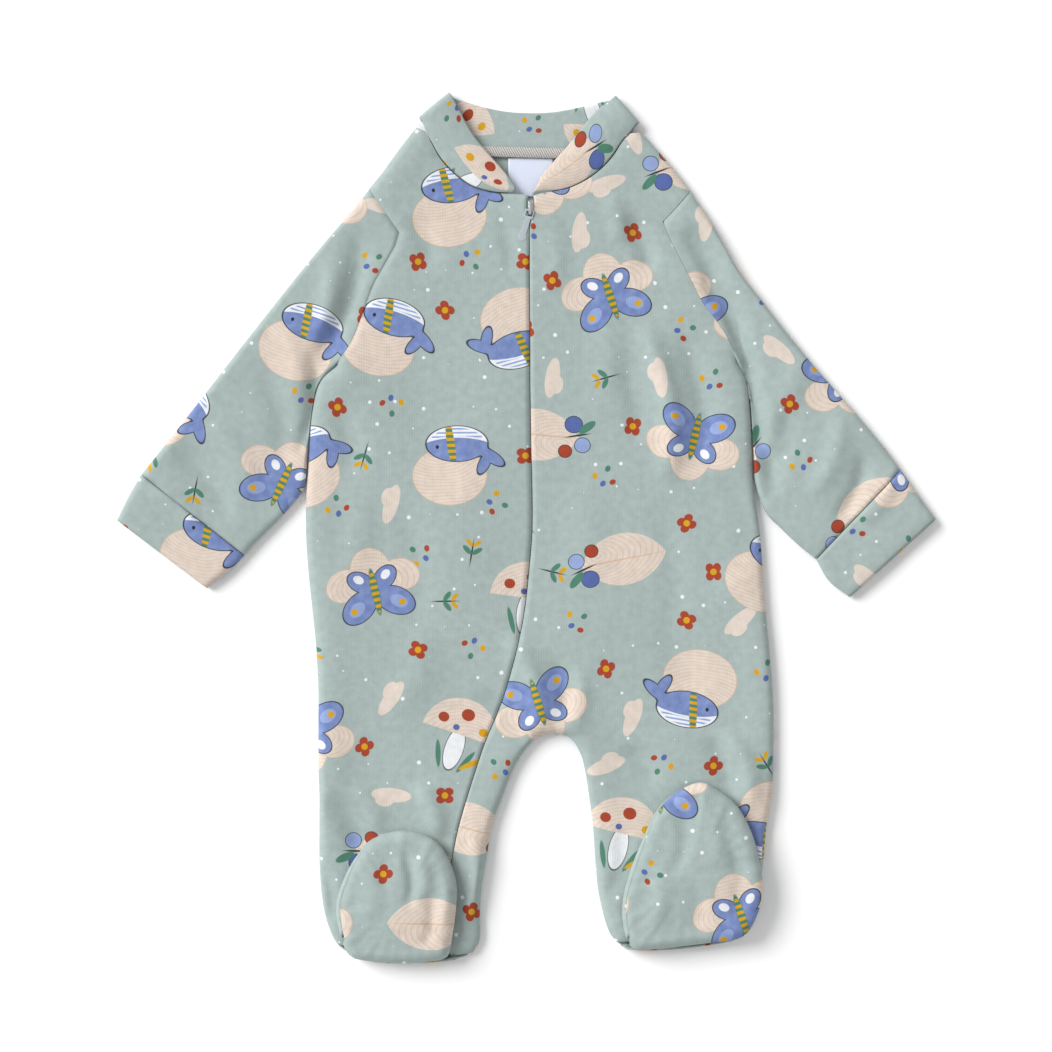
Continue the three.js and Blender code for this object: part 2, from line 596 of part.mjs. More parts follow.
function sole(rim) {
  const seam = seamAngle(rim);
  const angles = [0, 0.35, 0.7, 1].map((share) => (p) => mix(seam(p), Math.PI / 2, share));
  const { rings, centre } = footRings(rim, angles, [0.3, 0.65]);
  const bagHeight = footTop - legTop;
  const height = ({ angle, rim: p, share }) => {
    if (angle === null) return footTop + 0.9 * share;
    const heel = heelShare(p);
    const middle = mix(legTop + bagHeight / 2, footTop / 2, heel);
    const half = mix(bagHeight / 2, footTop / 2, heel);
    return middle + half * Math.sin(angle) + (angle === seam(p) ? seamGap / 2 : 0);
  };
  const grid = rings.map((ring) => [...ring, ring[0]].map((point) => [...point.plan, height(point)]));
  const top = grid[0].map(() => [...centre, footTop + 0.9]);
  const { points, faces } = weld([[...grid, top]], false);
  return wall(points, faces, clothWall, alongSeam(rings[0], centre));
}

function footUpper(rim) {
  const clamped = rim.map((p) => (p[1] < creaseY ? [p[0], creaseY + 0.02 * (p[1] - creaseY)] : p));
  const isCrease = (p) => p[1] < creaseY;
  const outerSeam = seamAngle(rim);
  const seam = (p) => (isCrease(p) ? 0 : outerSeam(p));
  const angles = [0, 0.3, 0.6, 0.8, 1].map((share) => (p) => mix(seam(p), -Math.PI / 2, share));
  const { rings, centre } = footRings(clamped, angles, [0.5]);
  const bagHeight = footTop - legTop;
  const height = ({ angle, rim: p }) => {
    if (angle === null || isCrease(p)) return legTop;
    return legTop + (bagHeight / 2) * (1 + Math.sin(angle)) - (angle === seam(p) ? seamGap / 2 : 0);
  };
  const grid = rings.map((ring) => [...ring, ring[0]].map((point) => [...point.plan, height(point)]));
  const middle = grid[0].map(() => [...centre, legTop]);
  const { points, faces } = weld([[...grid, middle]], true);
  return wall(points, faces, clothWall, alongSeam(rings[0].filter((point) => !isCrease(point.rim)), centre));
}

// Hard parts of the zip, joined from plain bodies
const wasm = await Module();
wasm.setup();

function solid(geometry) {
  const bare = geometry.clone();
  bare.deleteAttribute('normal');
  bare.deleteAttribute('uv');
  const merged = mergeVertices(bare, 1e-4);
  return new wasm.Manifold(new wasm.Mesh({
    numProp: 3,
    vertProperties: new Float32Array(merged.attributes.position.array),
    triVerts: new Uint32Array(merged.index.array),
  }));
}

function toGeometry(manifold) {
  const mesh = manifold.getMesh();
  const geometry = new THREE.BufferGeometry();
  geometry.setAttribute('position', new THREE.Float32BufferAttribute(mesh.vertProperties, 3));
  geometry.setIndex([...mesh.triVerts]);
  return geometry.toNonIndexed();
}

function block(width, length, height, x, y, z) {
  return solid(new THREE.BoxGeometry(width, length, height).translate(x, y, z));
}

function zipSlider() {
  const { width, length, bottom, top } = sliderSize;
  const middle = (bottom + top) / 2;
  const plate = block(width, length, top - bottom, 0, 0, middle);
  const channel = block(width * 0.55, length * 1.2, (top - bottom) * 0.4, 0, -length * 0.5, middle);
  const post = (y) => block(bridge.width, bridge.bar, bridge.top - middle, 0, y, (bridge.top + middle) / 2);
  const crown = block(bridge.width, bridge.length, bridge.bar, 0, 0, bridge.top - bridge.bar / 2);
  const postY = (bridge.length - bridge.bar) / 2;
  const body = plate.subtract(channel).add(post(postY)).add(post(-postY)).add(crown);
  return toGeometry(body).translate(sliderPlace.x, sliderPlace.y, 0);
}

// Pull tab about its own axis at the origin, lying along -Y: a pin and an eye round the bridge,
// then a flat tab
function zipPull() {
  const { eyeWidth, eyeLength, thick, pin } = pull;
  const frameWidth = eyeWidth + 2 * pull.arm;
  const frameLength = eyeLength + pin / 2;
  const holeLength = eyeLength - pin / 2;
  const endRadius = pull.tip / 2;
  const tabLength = pull.length - eyeLength - endRadius;
  const frame = block(frameWidth, frameLength, thick, 0, -frameLength / 2, 0);
  const hole = block(eyeWidth, holeLength, thick * 2, 0, -holeLength / 2, 0);
  const round = solid(new THREE.CylinderGeometry(pin / 2, pin / 2, frameWidth, 24).rotateZ(Math.PI / 2));
  const tab = block(pull.neck, tabLength, thick, 0, -eyeLength - tabLength / 2, 0);
  const end = solid(new THREE.CylinderGeometry(endRadius, endRadius, thick, 24)
    .rotateX(Math.PI / 2).translate(0, -pull.length + endRadius, 0));
  return toGeometry(frame.subtract(hole).add(round).add(tab).add(end));
}

// Materials
function surface(name, color, roughness, metalness = 0) {
  return new THREE.MeshStandardMaterial({ name, color, roughness, metalness });
}

const sage = surface('sage interlock', 0xaab8b2, 0.9);
const ecru = surface('overlock thread', 0xb8b6b0, 0.9);
const white = surface('white satin', 0xd4d8e4, 0.6);
const tape = surface('zip tape', 0x9fb3ab, 0.85);
const metal = surface('slider metal', 0xb4b9bd, 0.35, 0.9);

const sleepsuit = new THREE.Group();

function add(name, geometry, material) {
  const mesh = new THREE.Mesh(geometry, material);
  mesh.name = name;
  sleepsuit.add(mesh);
  return mesh;
}

add('back', back(), sage);
add('front_right', frontRight(), sage);
add('front_left', frontLeft(), sage);
add('sleeve_right', sleeve('right', sleeveRightTable, -0.45, true), sage);
add('sleeve_left', sleeve('left', sleeveLeftTable, 0.45, false), sage);
add('cuff_right', cuff(cuffRightTable, true), sage);
add('cuff_left', cuff(cuffLeftTable, false), sage);
add('collar', collar(), sage);
add('neck_seam', neckSeamStrip(), ecru);
add('label', label(), white);
add('sole_right', sole(footRightRim), sage);
add('sole_left', sole(footLeftRim), sage);
add('foot_upper_right', footUpper(footRightRim), sage);
add('foot_upper_left', footUpper(footLeftRim), sage);
add('zip_tape', zipTape(), tape);
add('zip_slider', zipSlider(), metal);

const pullMesh = add('zip_pull', zipPull(), metal);
const pullPivot = {
  x: sliderPlace.x,
  y: sliderPlace.y - bridge.length / 2 + pullLies.fromPost,
  z: sliderSize.top + pullLies.above,
};
pullMesh.rotation.set((pullLies.dip * Math.PI) / 180, 0, (pullLies.turn * Math.PI) / 180, 'ZYX');
pullMesh.position.set(pullPivot.x, pullPivot.y, pullPivot.z);

// Origin at the middle of the underside's box
sleepsuit.updateMatrixWorld(true);
const box = new THREE.Box3().setFromObject(sleepsuit);
sleepsuit.position.set(-(box.min.x + box.max.x) / 2, -(box.min.y + box.max.y) / 2, -box.min.z);

export default sleepsuit;
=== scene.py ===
"""Footed baby sleepsuit laid flat on its back: cloth shells, print, zip and a plain studio."""
import math

import bmesh
import bpy
import numpy as np
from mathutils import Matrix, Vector


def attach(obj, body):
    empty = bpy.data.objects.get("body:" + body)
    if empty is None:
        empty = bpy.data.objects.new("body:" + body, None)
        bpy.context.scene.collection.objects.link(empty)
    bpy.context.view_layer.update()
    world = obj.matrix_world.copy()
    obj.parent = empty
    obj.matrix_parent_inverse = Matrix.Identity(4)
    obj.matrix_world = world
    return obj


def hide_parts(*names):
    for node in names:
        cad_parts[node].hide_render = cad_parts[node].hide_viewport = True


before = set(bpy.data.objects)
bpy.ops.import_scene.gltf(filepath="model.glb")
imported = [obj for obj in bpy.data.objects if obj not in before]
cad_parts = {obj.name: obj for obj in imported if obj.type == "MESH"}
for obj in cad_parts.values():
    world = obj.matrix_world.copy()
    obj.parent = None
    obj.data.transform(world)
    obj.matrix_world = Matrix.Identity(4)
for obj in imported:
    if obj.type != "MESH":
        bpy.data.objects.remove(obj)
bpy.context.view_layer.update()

# Lengths in the cutting tables are millimetres, in the pattern's own frame
MM = 0.001
ORIGIN = np.array([0.6, 0.38, 0.0])      # where the part's origin lies in the pattern's frame

CLOTH = 1.1                              # thickness of the cloth
BAND = 2.0                               # folded band: collar and cuffs
SEAM = 0.3                               # gap between two pieces at a seam
TUCK = 0.5                               # how far a sleeve's edge lies in under the body's
BODY_HEIGHT = 7.0                        # front above the table, away from folds
SAG = 0.6                                # how much less than the whole height a side stands
SIDE_SEAM = (BODY_HEIGHT - SAG) / 2      # height of the seam down the garment's side
RIM = 4.6                                # how far the side folds round in
RIM_SWELL = (9, 8)                       # the front stands proud this far in, over this reach
ARMHOLE_DITCH = ((0.9, 2.0), (0.3, 2.0))  # depth and reach beside the right and the left sleeve
CUFF_DITCH = (0.8, 2.0)                  # and where a sleeve meets its cuff
NECK_DITCH = 0.7
SLEEVE_HEIGHT = 7.2
SLEEVE_ROUND = 1.25                      # a tube's edge rolls in by this many half heights
SLEEVE_JOIN = 4.5                        # how near its armhole a sleeve comes to the front's height
SLEEVE_LEAN = 0.9                        # how much lower a sleeve lies on its underarm side
LOWER_PRINT = 0.31                       # metres from a sleeve's upper face to its lower in the print
CUFF_HEIGHT = 7.0
COLLAR_HEIGHT = 8.2
COLLAR_WIDTH = 25.0                      # from seam to fold, in the print
COLLAR_CROWN = 1.9                       # how far the band swells between its edges
COLLAR_EDGE = 1.6                        # how far its edges lie below its height
FOOT_BASE = BODY_HEIGHT + SEAM + 0.6     # underside of a folded foot, on the front of its leg
FOOT_TOP = 17.5
FOOT_RIM = 7.5                           # how far a foot's edge rolls in
SOLE_CROWN = 1.3                         # how far a sole stands above its rolled edge
SOLE_RIM_TURN = 0.85                     # how far round the edge its seam climbs on one side
HEEL_RADIUS = 7.0
CREASE_Y = -236.0                        # where the feet fold up over the legs
SLIDER = np.array([2.6, 184.6])          # where the zip's slider stands
SLIDER_REACH = 11.0                      # how far round it the front is lifted
SLIDER_LIFT = 1.2
ZIP_OPENING = 0.45                       # gap between the fronts along the zip
TAPE_BELOW = CLOTH + 0.8                 # the zip's tape under the front's top
TAPE_TOP = 5.2                           # its height where the front stands higher
CREASE_GAIN = 2.6                        # all creases together, against their tables
CREASE_BOW = 0.08                        # how far a crease bows, in its own lengths
STEPS = 7                                # points along an edge for each row of its table

# Torso from the shoulder's neck end to the crotch: right edge, right front's inner edge,
# left front's inner edge, left edge, and how far the back's row dips at the neck
TORSO = [
    (-63.0, 231.8, -57.8, 229.2, 60.5, 228.0, 67.2, 228.7, 12.8),
    (-67.6, 226.5, -53.6, 221.2, 56.0, 223.2, 71.0, 224.7, 13.4),
    (-75.1, 216.6, -48.6, 212.9, 50.9, 215.5, 79.2, 215.5, 10.0),
    (-82.6, 206.2, -40.6, 204.5, 43.8, 207.6, 87.3, 205.6, 6.0),
    (-90.5, 196.3, -31.0, 197.7, 34.5, 200.8, 95.4, 195.2, 2.3),
    (-82.1, 184.1, -19.0, 194.2, 24.0, 196.2, 87.3, 185.9, 0.0),
    (-72.8, 170.8, -7.0, 193.4, 12.5, 194.0, 79.2, 177.2, 0.0),
    (-75.1, 163.3, 1.6, 192.4, 4.6, 191.9, 82.1, 169.6, 0.0),
    (-80.3, 154.0, 2.5, 177.0, 2.5, 177.0, 86.7, 160.4, 0.0),
    (-87.9, 140.6, 2.3, 158.0, 2.3, 158.0, 94.2, 145.9, 0.0),
    (-93.7, 125.0, 2.3, 136.0, 2.3, 136.0, 102.4, 130.2, 0.0),
    (-100.6, 107.6, 2.5, 114.0, 2.5, 114.0, 114.0, 114.5, 0.0),
    (-109.9, 94.2, 2.6, 97.0, 2.6, 97.0, 122.7, 96.6, 0.0),
    (-119.2, 83.8, 2.6, 83.0, 2.6, 83.0, 127.9, 83.8, 0.0),
]

# The rows below run level across: y, then x at the right edge, the zip and the left edge
TORSO += [(right, y, middle, y, middle, y, left, y, 0.0) for y, right, middle, left in (
    (65.8, -123.5, 2.9, 129.9), (45.5, -125.0, 3.2, 130.8), (22.3, -126.7, 3.8, 131.9),
    (-0.9, -127.0, 3.8, 135.4), (-24.1, -125.6, 2.0, 137.2), (-47.3, -123.2, -0.6, 138.9),
    (-70.5, -120.9, -5.2, 141.2), (-93.7, -119.8, -11.6, 143.0), (-108.0, -119.8, -16.8, 143.5),
    (-118.3, -119.8, -21.3, 143.5),
)]
SHOULDER_TIP, ARMHOLE_INSET, ZIP_TOP, UNDERARM = 4, 6, 7, 12

# Legs from the crotch down: right leg's outer edge, zip, right leg's inner edge, left leg's
# inner edge, left leg's outer edge
LEGS = [
    (-119.8, -118.3, -21.3, -118.3, 17.0, -118.3, 17.0, -118.3, 143.5, -118.3),
    (-119.8, -121.6, -22.6, -121.6, 7.6, -120.4, 25.6, -121.0, 143.5, -121.6),
    (-119.8, -128.5, -25.2, -128.5, -0.2, -128.0, 31.6, -129.6, 143.5, -128.5),
    (-119.8, -140.1, -29.0, -140.1, -7.2, -139.5, 34.5, -140.1, 143.3, -140.1),
    (-119.2, -154.6, -33.6, -154.6, -13.3, -155.1, 36.8, -154.6, 142.7, -154.6),
    (-119.2, -172.0, -38.6, -172.0, -19.4, -172.0, 39.1, -172.0, 139.5, -172.0),
    (-119.2, -189.4, -42.3, -189.4, -22.3, -189.4, 40.3, -189.4, 137.8, -189.4),
    (-118.3, -206.8, -46.1, -206.8, -25.2, -206.8, 41.8, -206.8, 136.0, -206.8),
    (-116.3, -221.3, -49.5, -221.3, -26.4, -222.4, 44.4, -220.1, 133.7, -220.1),
    (-112.8, -232.9, -52.0, -232.9, -26.4, -235.8, 47.8, -231.7, 129.6, -228.0),
]
FRONT_END = [(-108.6, -240.6, -53.6, -248.4, -30.2, -245.2, 52.6, -239.2, 123.6, -233.2)]
BACK_END = [
    (-108.2, -241.0, -53.0, -240.0, -28.3, -241.8, 50.6, -236.6, 126.4, -231.6),
    (-100.6, -246.6, -54.0, -246.0, -33.4, -246.4, 55.4, -241.2, 121.4, -235.6),
]
HEEL_BULGE = 4.0                         # how far the back swells out past a heel's ends
HEEL_BANDS = (0.65, 0.4, 0.22, 0.1, 0.03, 0.0)
BACK_COLUMNS = 22
HEEL_RAMP = 2.0                          # over how much the heel rises beside its ends
HEEL_CLEAR = (0, 5, 1, 0)                # how far from each end of a heel its foot begins
CROTCH_SHARE_FRONT = 0.232               # where the crotch lies across the left front
CROTCH_SHARE_BACK = 0.5196               # and across the back

# Sleeves from the armhole to the cuff: outer edge, underarm edge
SLEEVE_RIGHT = [
    (-104.7, 178.9, -119.9, 84.1), (-120.3, 160.4, -123.0, 73.4), (-135.4, 141.8, -125.2, 57.1),
    (-150.5, 122.7, -126.3, 40.9), (-165.6, 103.5, -127.9, 24.1), (-179.5, 85.5, -136.6, 11.9),
    (-193.4, 67.6, -147.0, 0.9), (-208.5, 48.4, -156.3, -8.4), (-222.0, 31.4, -162.4, -15.4),
]
SLEEVE_LEFT = [
    (107.6, 176.6, 128.2, 83.6), (122.1, 151.1, 130.3, 70.6), (136.0, 132.5, 131.2, 56.0),
    (150.5, 114.0, 132.0, 41.5), (163.8, 97.7, 132.9, 26.4), (177.8, 81.5, 138.9, 9.6),
    (191.7, 65.8, 147.6, 0.3), (205.6, 49.0, 158.0, -9.6), (216.9, 34.2, 168.0, -17.6),
]
CUFF_RIGHT = [(-222.2, 31.1, -162.6, -15.7), (-229.6, 18.3, -173.1, -26.0), (-236.3, 4.9, -184.1, -34.5)]
CUFF_LEFT = [(217.1, 33.9, 168.2, -17.9), (227.4, 19.0, 175.6, -30.4), (237.5, 5.5, 187.6, -39.7)]

# Collar's folded edge beside each neckline row, and its top corners
COLLAR_RIGHT_EDGE = [
    (-5.6, 197.2), (-10.0, 203.4), (-15.9, 210.2), (-22.9, 218.2), (-30.4, 227.6), (-36.0, 237.2),
    (-40.2, 245.6),
]
COLLAR_LEFT_EDGE = [
    (48.0, 246.6), (44.2, 243.8), (38.6, 238.6), (31.6, 230.0), (23.5, 219.8), (16.0, 211.6),
    (9.0, 203.4), (5.6, 196.6),
]
# Share across the back's neckline, and the edge's place
COLLAR_BACK_EDGE = [
    (0.1, -36.0, 247.4), (0.26, -22.0, 243.4), (0.42, -7.0, 240.9), (0.58, 12.0, 240.7), (0.74, 27.0, 242.9),
    (0.9, 43.0, 246.6),
]
COLLAR_CORNER_RIGHT = {"seam": (-59.8, 235.4), "edge": (-42.3, 249.7), "away": (-0.61, 0.79)}
COLLAR_CORNER_LEFT = {"seam": (63.6, 232.8), "edge": (49.9, 248.2), "away": (0.72, 0.69)}

# Outline of each folded-up foot, round from its lower right
FOOT_RIGHT = [
    (-45, -246.6), (-42.0, -234), (-39.8, -217), (-39.8, -203), (-45.2, -188), (-54, -178), (-71, -173.7),
    (-88, -178.4), (-96.6, -187.6), (-103.4, -199), (-108.6, -215), (-107.2, -231), (-101.6, -245.6),
    (-88, -249.6), (-72, -250.6), (-57, -249.6),
]
FOOT_LEFT = [
    (123.8, -235.2), (131.6, -226), (136.6, -208), (133.2, -185.6), (128.3, -171), (121, -158.6),
    (111, -150.6), (100.4, -145.9), (87, -151.4), (75.4, -162), (67.4, -178.6), (60.4, -196),
    (56.0, -213), (56.2, -228), (61.4, -241.4), (76, -242.2), (93, -240.4), (109, -238),
]

# Creases: from x, y to x, y, rise (negative is a trough), reach across
FRONT_CREASES = [
    (70, 112, 83, 34, 1.7, 6), (93, 106, 101, 40, -1.2, 7), (57, 96, 64, 52, -0.7, 6),
    (60, 178, 72, 150, -1.1, 6), (-62, 178, -56, 150, -0.7, 7), (48, 190, 56, 168, 0.8, 6),
    (-6, -66, 9, -112, 1.4, 6), (18, -78, 22, -108, -0.9, 5), (32, -84, 27, -116, 0.8, 4),
    (-24, -96, -2, -122, -0.8, 5), (118, -120, 130, -158, 1.5, 6), (108, -124, 118, -150, -0.9, 6),
    (-60, -150, -50, -176, 1.3, 6), (-112, -158, -94, -184, -1.1, 7), (-100, -150, -84, -170, 0.7, 6),
    (-108, 70, -100, 34, -0.8, 7), (-96, 20, -104, -30, 0.6, 9), (118, 30, 124, -24, -0.8, 8),
    (60, -128, 74, -146, -0.8, 6), (120, 12, 116, -44, 0.6, 9), (-40, 60, -34, 12, 0.4, 10),
    (30, 20, 36, -30, 0.4, 12), (38, 150, 46, 70, 0.5, 8), (78, 10, 84, -60, -0.5, 8),
    (-70, 10, -62, -50, -0.5, 8), (-14, 178, -9, 150, -0.5, 4), (14, 180, 16, 140, 0.5, 7),
    (-60, -60, -72, -104, 0.6, 10), (84, -60, 92, -100, -0.5, 10), (56, -176, 50, -212, -0.8, 5),
    (-30, -176, -34, -226, 0.8, 4), (134, -176, 130, -222, 0.6, 4), (-117, -196, -112, -226, -0.7, 4),
]
SLEEVE_CREASES = [
    (95, 170, 110, 139, -1.9, 6.5), (109, 141, 123, 105, -1.7, 6), (122, 107, 130, 80, -1.4, 5),
    (129, 82, 135, 50, -1.3, 5), (134, 54, 143, 22, -0.9, 5), (196, 40, 182, 6, -1.2, 5),
    (182, 62, 168, 22, 0.9, 6), (212, 30, 196, 6, 0.8, 5), (150, 74, 144, 34, -0.7, 7),
    (160, 96, 138, 60, 0.6, 8),
    (-96, 166, -116, 104, -1.5, 6), (-112, 150, -122, 108, 1.0, 6), (-122, 96, -130, 46, -1.3, 5),
    (-200, 44, -172, 10, -1.0, 6), (-182, 60, -158, 24, 0.8, 7), (-212, 22, -190, 2, 0.9, 5),
    (-150, 90, -140, 40, -0.7, 7), (-140, 120, -132, 78, 0.6, 7),
]
SOLE_CREASES = {
    "right": [
        (-69, -186, -66, -214, -1.5, 3.4), (-60, -190, -58, -210, 1.1, 4), (-54, -212, -57, -238, -1.2, 3.6),
        (-88, -196, -92, -226, 0.9, 6), (-80, -184, -84, -206, -0.7, 5), (-47, -200, -48, -226, 0.8, 4),
    ],
    "left": [
        (92, -164, 86, -196, -1.1, 4.5), (104, -160, 110, -190, 0.9, 6), (122, -190, 120, -222, -0.9, 5),
        (76, -196, 74, -226, 0.9, 5), (98, -206, 96, -232, -0.8, 6), (113, -172, 121, -196, -0.7, 4),
    ],
}


def mix(a, b, t):
    return a + (b - a) * t


def ease(t):
    t = np.clip(t, 0, 1)
    return t * t * (3 - 2 * t)


def quarter_round(share):
    """Height of a quarter round at a share of its radius in from its edge."""
    return np.sqrt(1 - (1 - np.clip(share, 0, 1)) ** 2)


def smooth(points, per, corners=()):
    """A curve through the points, a fixed number of steps a stretch; corners stay sharp."""
    points = np.array(points, float)
    stops = [0, *corners, len(points) - 1]
    out = []
    for first, last in zip(stops, stops[1:]):
        part = points[first:last + 1]
        padded = np.vstack([2 * part[0] - part[1], part, 2 * part[-1] - part[-2]])
        for i in range(len(part) - 1):
            p0, p1, p2, p3 = padded[i:i + 4]
            for t in np.arange(per) / per:
                out.append(0.5 * (2 * p1 + (p2 - p0) * t + (2 * p0 - 5 * p1 + 4 * p2 - p3) * t ** 2
                                  + (3 * p1 - p0 - 3 * p2 + p3) * t ** 3))
    out.append(points[-1])
    return np.array(out)


def closed_curve(points, per):
    """The same, round a closed outline."""
    points = np.array(points, float)
    around = np.vstack([points[-3:], points, points[:3]])
    curve = smooth(around, per)
    return curve[3 * per:(3 + len(points)) * per]


def distance(points, path):
    """Distance of each point to a polyline, seen from above."""
    flat = points.reshape(-1, 2)
    best = np.full(len(flat), np.inf)
    for a, b in zip(path[:-1], path[1:]):
        edge = b - a
        along = np.clip((flat - a) @ edge / max(edge @ edge, 1e-9), 0, 1)
        best = np.minimum(best, np.linalg.norm(flat - a - along[:, None] * edge, axis=1))
    return best.reshape(points.shape[:-1])


def within(points, outline):
    """Which points lie inside a closed outline, seen from above."""
    x, y = points[..., 0], points[..., 1]
    inside = np.zeros(x.shape, bool)
    for (x0, y0), (x1, y1) in zip(outline, outline[1:] + outline[:1]):
        crosses = (y0 > y) != (y1 > y)
        reach = x0 + (y - y0) / ((y1 - y0) or 1e-9) * (x1 - x0)
        inside ^= crosses & (x < reach)
    return inside


def nearest(points, paths):
    """Distance of each point to the nearest of several polylines."""
    return np.min([distance(points, path) for path in paths], axis=0)


def run_lengths(line):
    """How far along a polyline each of its points lies."""
    return np.concatenate([[0], np.cumsum(np.linalg.norm(np.diff(line, axis=0), axis=1))])


def creases(points, table):
    """Sum of the soft troughs and ridges at each point."""
    height = np.zeros(points.shape[:-1])
    for x0, y0, x1, y1, rise, reach in table:
        a, b = np.array([x0, y0], float), np.array([x1, y1], float)
        edge = b - a
        side = np.array([-edge[1], edge[0]])
        along = (points - a) @ edge / (edge @ edge)
        bend = CREASE_BOW * np.sin(np.pi * along)
        spine = a + np.clip(along, 0, 1)[..., None] * edge + bend[..., None] * side
        away = np.linalg.norm(points - spine, axis=-1)
        fade = ease((along + 0.25) / 0.5) * ease((1.25 - along) / 0.5)
        height += rise * fade * np.exp(-(away / reach) ** 2)
    return height


def billow(points, size, seed):
    """Low uneven swelling of cloth that lies loose, from -1 to 1."""
    random = np.random.default_rng(seed)
    total = np.zeros(points.shape[:-1])
    for _ in range(9):
        angle = random.uniform(0, math.tau)
        scale = size * random.uniform(0.6, 1.7)
        way = np.array([math.cos(angle), math.sin(angle)]) * math.tau / scale
        total += np.sin(points @ way + random.uniform(0, math.tau)) / 3
    return total / 1.6


def column(table, index):
    """The x and y that start at an index of each row."""
    return np.array([(row[index], row[index + 1]) for row in table], float)


torso_corners = (SHOULDER_TIP, ARMHOLE_INSET, ZIP_TOP, UNDERARM)
TORSO_RIGHT = smooth(column(TORSO, 0), STEPS, torso_corners)
TORSO_OPEN_RIGHT = smooth(column(TORSO, 2), STEPS, (ZIP_TOP,))
TORSO_OPEN_LEFT = smooth(column(TORSO, 4), STEPS, (ZIP_TOP,))
TORSO_LEFT = smooth(column(TORSO, 6), STEPS, torso_corners)
NECK_DIP = smooth([(row[8], 0) for row in TORSO], STEPS)[:, 0]


def leg_curves(end):
    """The legs' five edges, run on through the rows of their end."""
    table = LEGS + end
    return [smooth(column(table, index), STEPS) for index in range(0, 10, 2)]


def near_slider(points):
    """1 at the zip's slider, fading out round it."""
    return np.exp(-(np.linalg.norm(points - SLIDER, axis=-1) / SLIDER_REACH) ** 2)


def zip_edge(line, side):
    """A front's edge beside the zip; the opening widens a little at the slider."""
    moved = line.copy()
    first = ZIP_TOP * STEPS + 1
    moved[first:, 0] += side * (ZIP_OPENING / 2 + 1.2 * near_slider(line[first:]) ** 3)
    return moved


def spread(count, start, end, length):
    """Shares along a row: close together where an end rounds over, even between."""
    rounding = 1 - np.cos(np.linspace(0, math.pi / 2, 8)[:-1])
    first, last = start / length, 1 - end / length
    shares = [value * first for value in rounding if start]
    shares += list(np.linspace(first, last, count))
    shares += [1 - value * (1 - last) for value in reversed(rounding) if end]
    return np.array(shares)


def rows_between(a, b, count, start, end):
    """Grid of points from curve a to curve b."""
    grid = []
    for p, q in zip(a, b):
        length = np.linalg.norm(q - p)
        wide = min(1.0, 0.45 * length / max(start, end, 0.1))
        grid.append(mix(p, q, spread(count, start * wide, end * wide, length)[:, None]))
    return np.array(grid)


front_legs = leg_curves(FRONT_END)
back_legs = leg_curves(BACK_END)
shoulder = slice(0, SHOULDER_TIP * STEPS + 1)
armhole_part = slice(SHOULDER_TIP * STEPS, UNDERARM * STEPS + 1)
side = slice(UNDERARM * STEPS, None)
ARMHOLES = [TORSO_RIGHT[armhole_part], TORSO_LEFT[armhole_part]]
CROTCH = np.vstack([front_legs[2][::-1], front_legs[3]])
ANKLES = [np.array([front_legs[2][-1], [-38, -247.4], [-47, -248.4]]),
          np.array([front_legs[0][-1], [-103, -243.2]]), np.array([front_legs[3][-1], [60, -240.4]])]
FRONT_RIMS = [
    TORSO_RIGHT[shoulder], TORSO_LEFT[shoulder], np.vstack([TORSO_RIGHT[side], front_legs[0]]),
    np.vstack([TORSO_LEFT[side], front_legs[4]]), CROTCH, *ANKLES,
]
NECKLINES = [TORSO_OPEN_RIGHT[:ZIP_TOP * STEPS + 1], TORSO_OPEN_LEFT[:ZIP_TOP * STEPS + 1]]


def seam_ditch(points, seams, depth=1.6, reach=2.6):
    """A seam pulls the cloth down into a narrow ditch."""
    return -depth * np.exp(-(nearest(points, seams) / reach) ** 1.6)


def front_height(points):
    """Height of the front's outer face: folds, seams' ditches and the roll down to the side."""
    top = BODY_HEIGHT + SLIDER_LIFT * near_slider(points) + CREASE_GAIN * creases(points, FRONT_CREASES)
    top += 1.2 * billow(points, 90, 3) + 0.12 * billow(points, 24, 4)
    for outline in (FOOT_RIGHT, FOOT_LEFT):
        top = np.where(within(points, outline), np.minimum(top, BODY_HEIGHT), top)
    inside = nearest(points, FRONT_RIMS)
    top += np.exp(-((inside - RIM_SWELL[0]) / RIM_SWELL[1]) ** 2)
    right, left = ARMHOLE_DITCH
    top += seam_ditch(points, ARMHOLES[:1], *right) + seam_ditch(points, ARMHOLES[1:], *left)
    top += seam_ditch(points, NECKLINES, NECK_DITCH)
    return mix(SIDE_SEAM + SEAM / 2, top, quarter_round(inside / RIM))


def lift(points, height):
    """Plan points with their heights."""
    return np.concatenate([points, height[..., None]], axis=-1)


def link(name, data):
    piece = bpy.data.objects.new(name, data)
    bpy.context.scene.collection.objects.link(piece)
    return piece


def solid_piece(name, verts, faces):
    mesh = bpy.data.meshes.new(name)
    mesh.from_pydata([tuple(v) for v in verts], [], faces)
    mesh.validate()
    mesh.shade_smooth()
    return link(name, mesh)


def weld(grids, print_frame):
    """Vertices shared by grids that meet, their places in the print, and each grid's own numbers."""
    verts, places, known, numbered = [], [], {}, []
    for grid in grids:
        printed = print_frame(grid)
        index = np.zeros(grid.shape[:2], int)
        for row, col in np.ndindex(index.shape):
            point = grid[row, col]
            key = tuple(np.round(point, 3))
            if key not in known:
                known[key] = len(verts)
                verts.append((point - ORIGIN) * MM)
                places.append(printed[row, col])
            index[row, col] = known[key]
        numbered.append(index)
    return verts, places, numbered


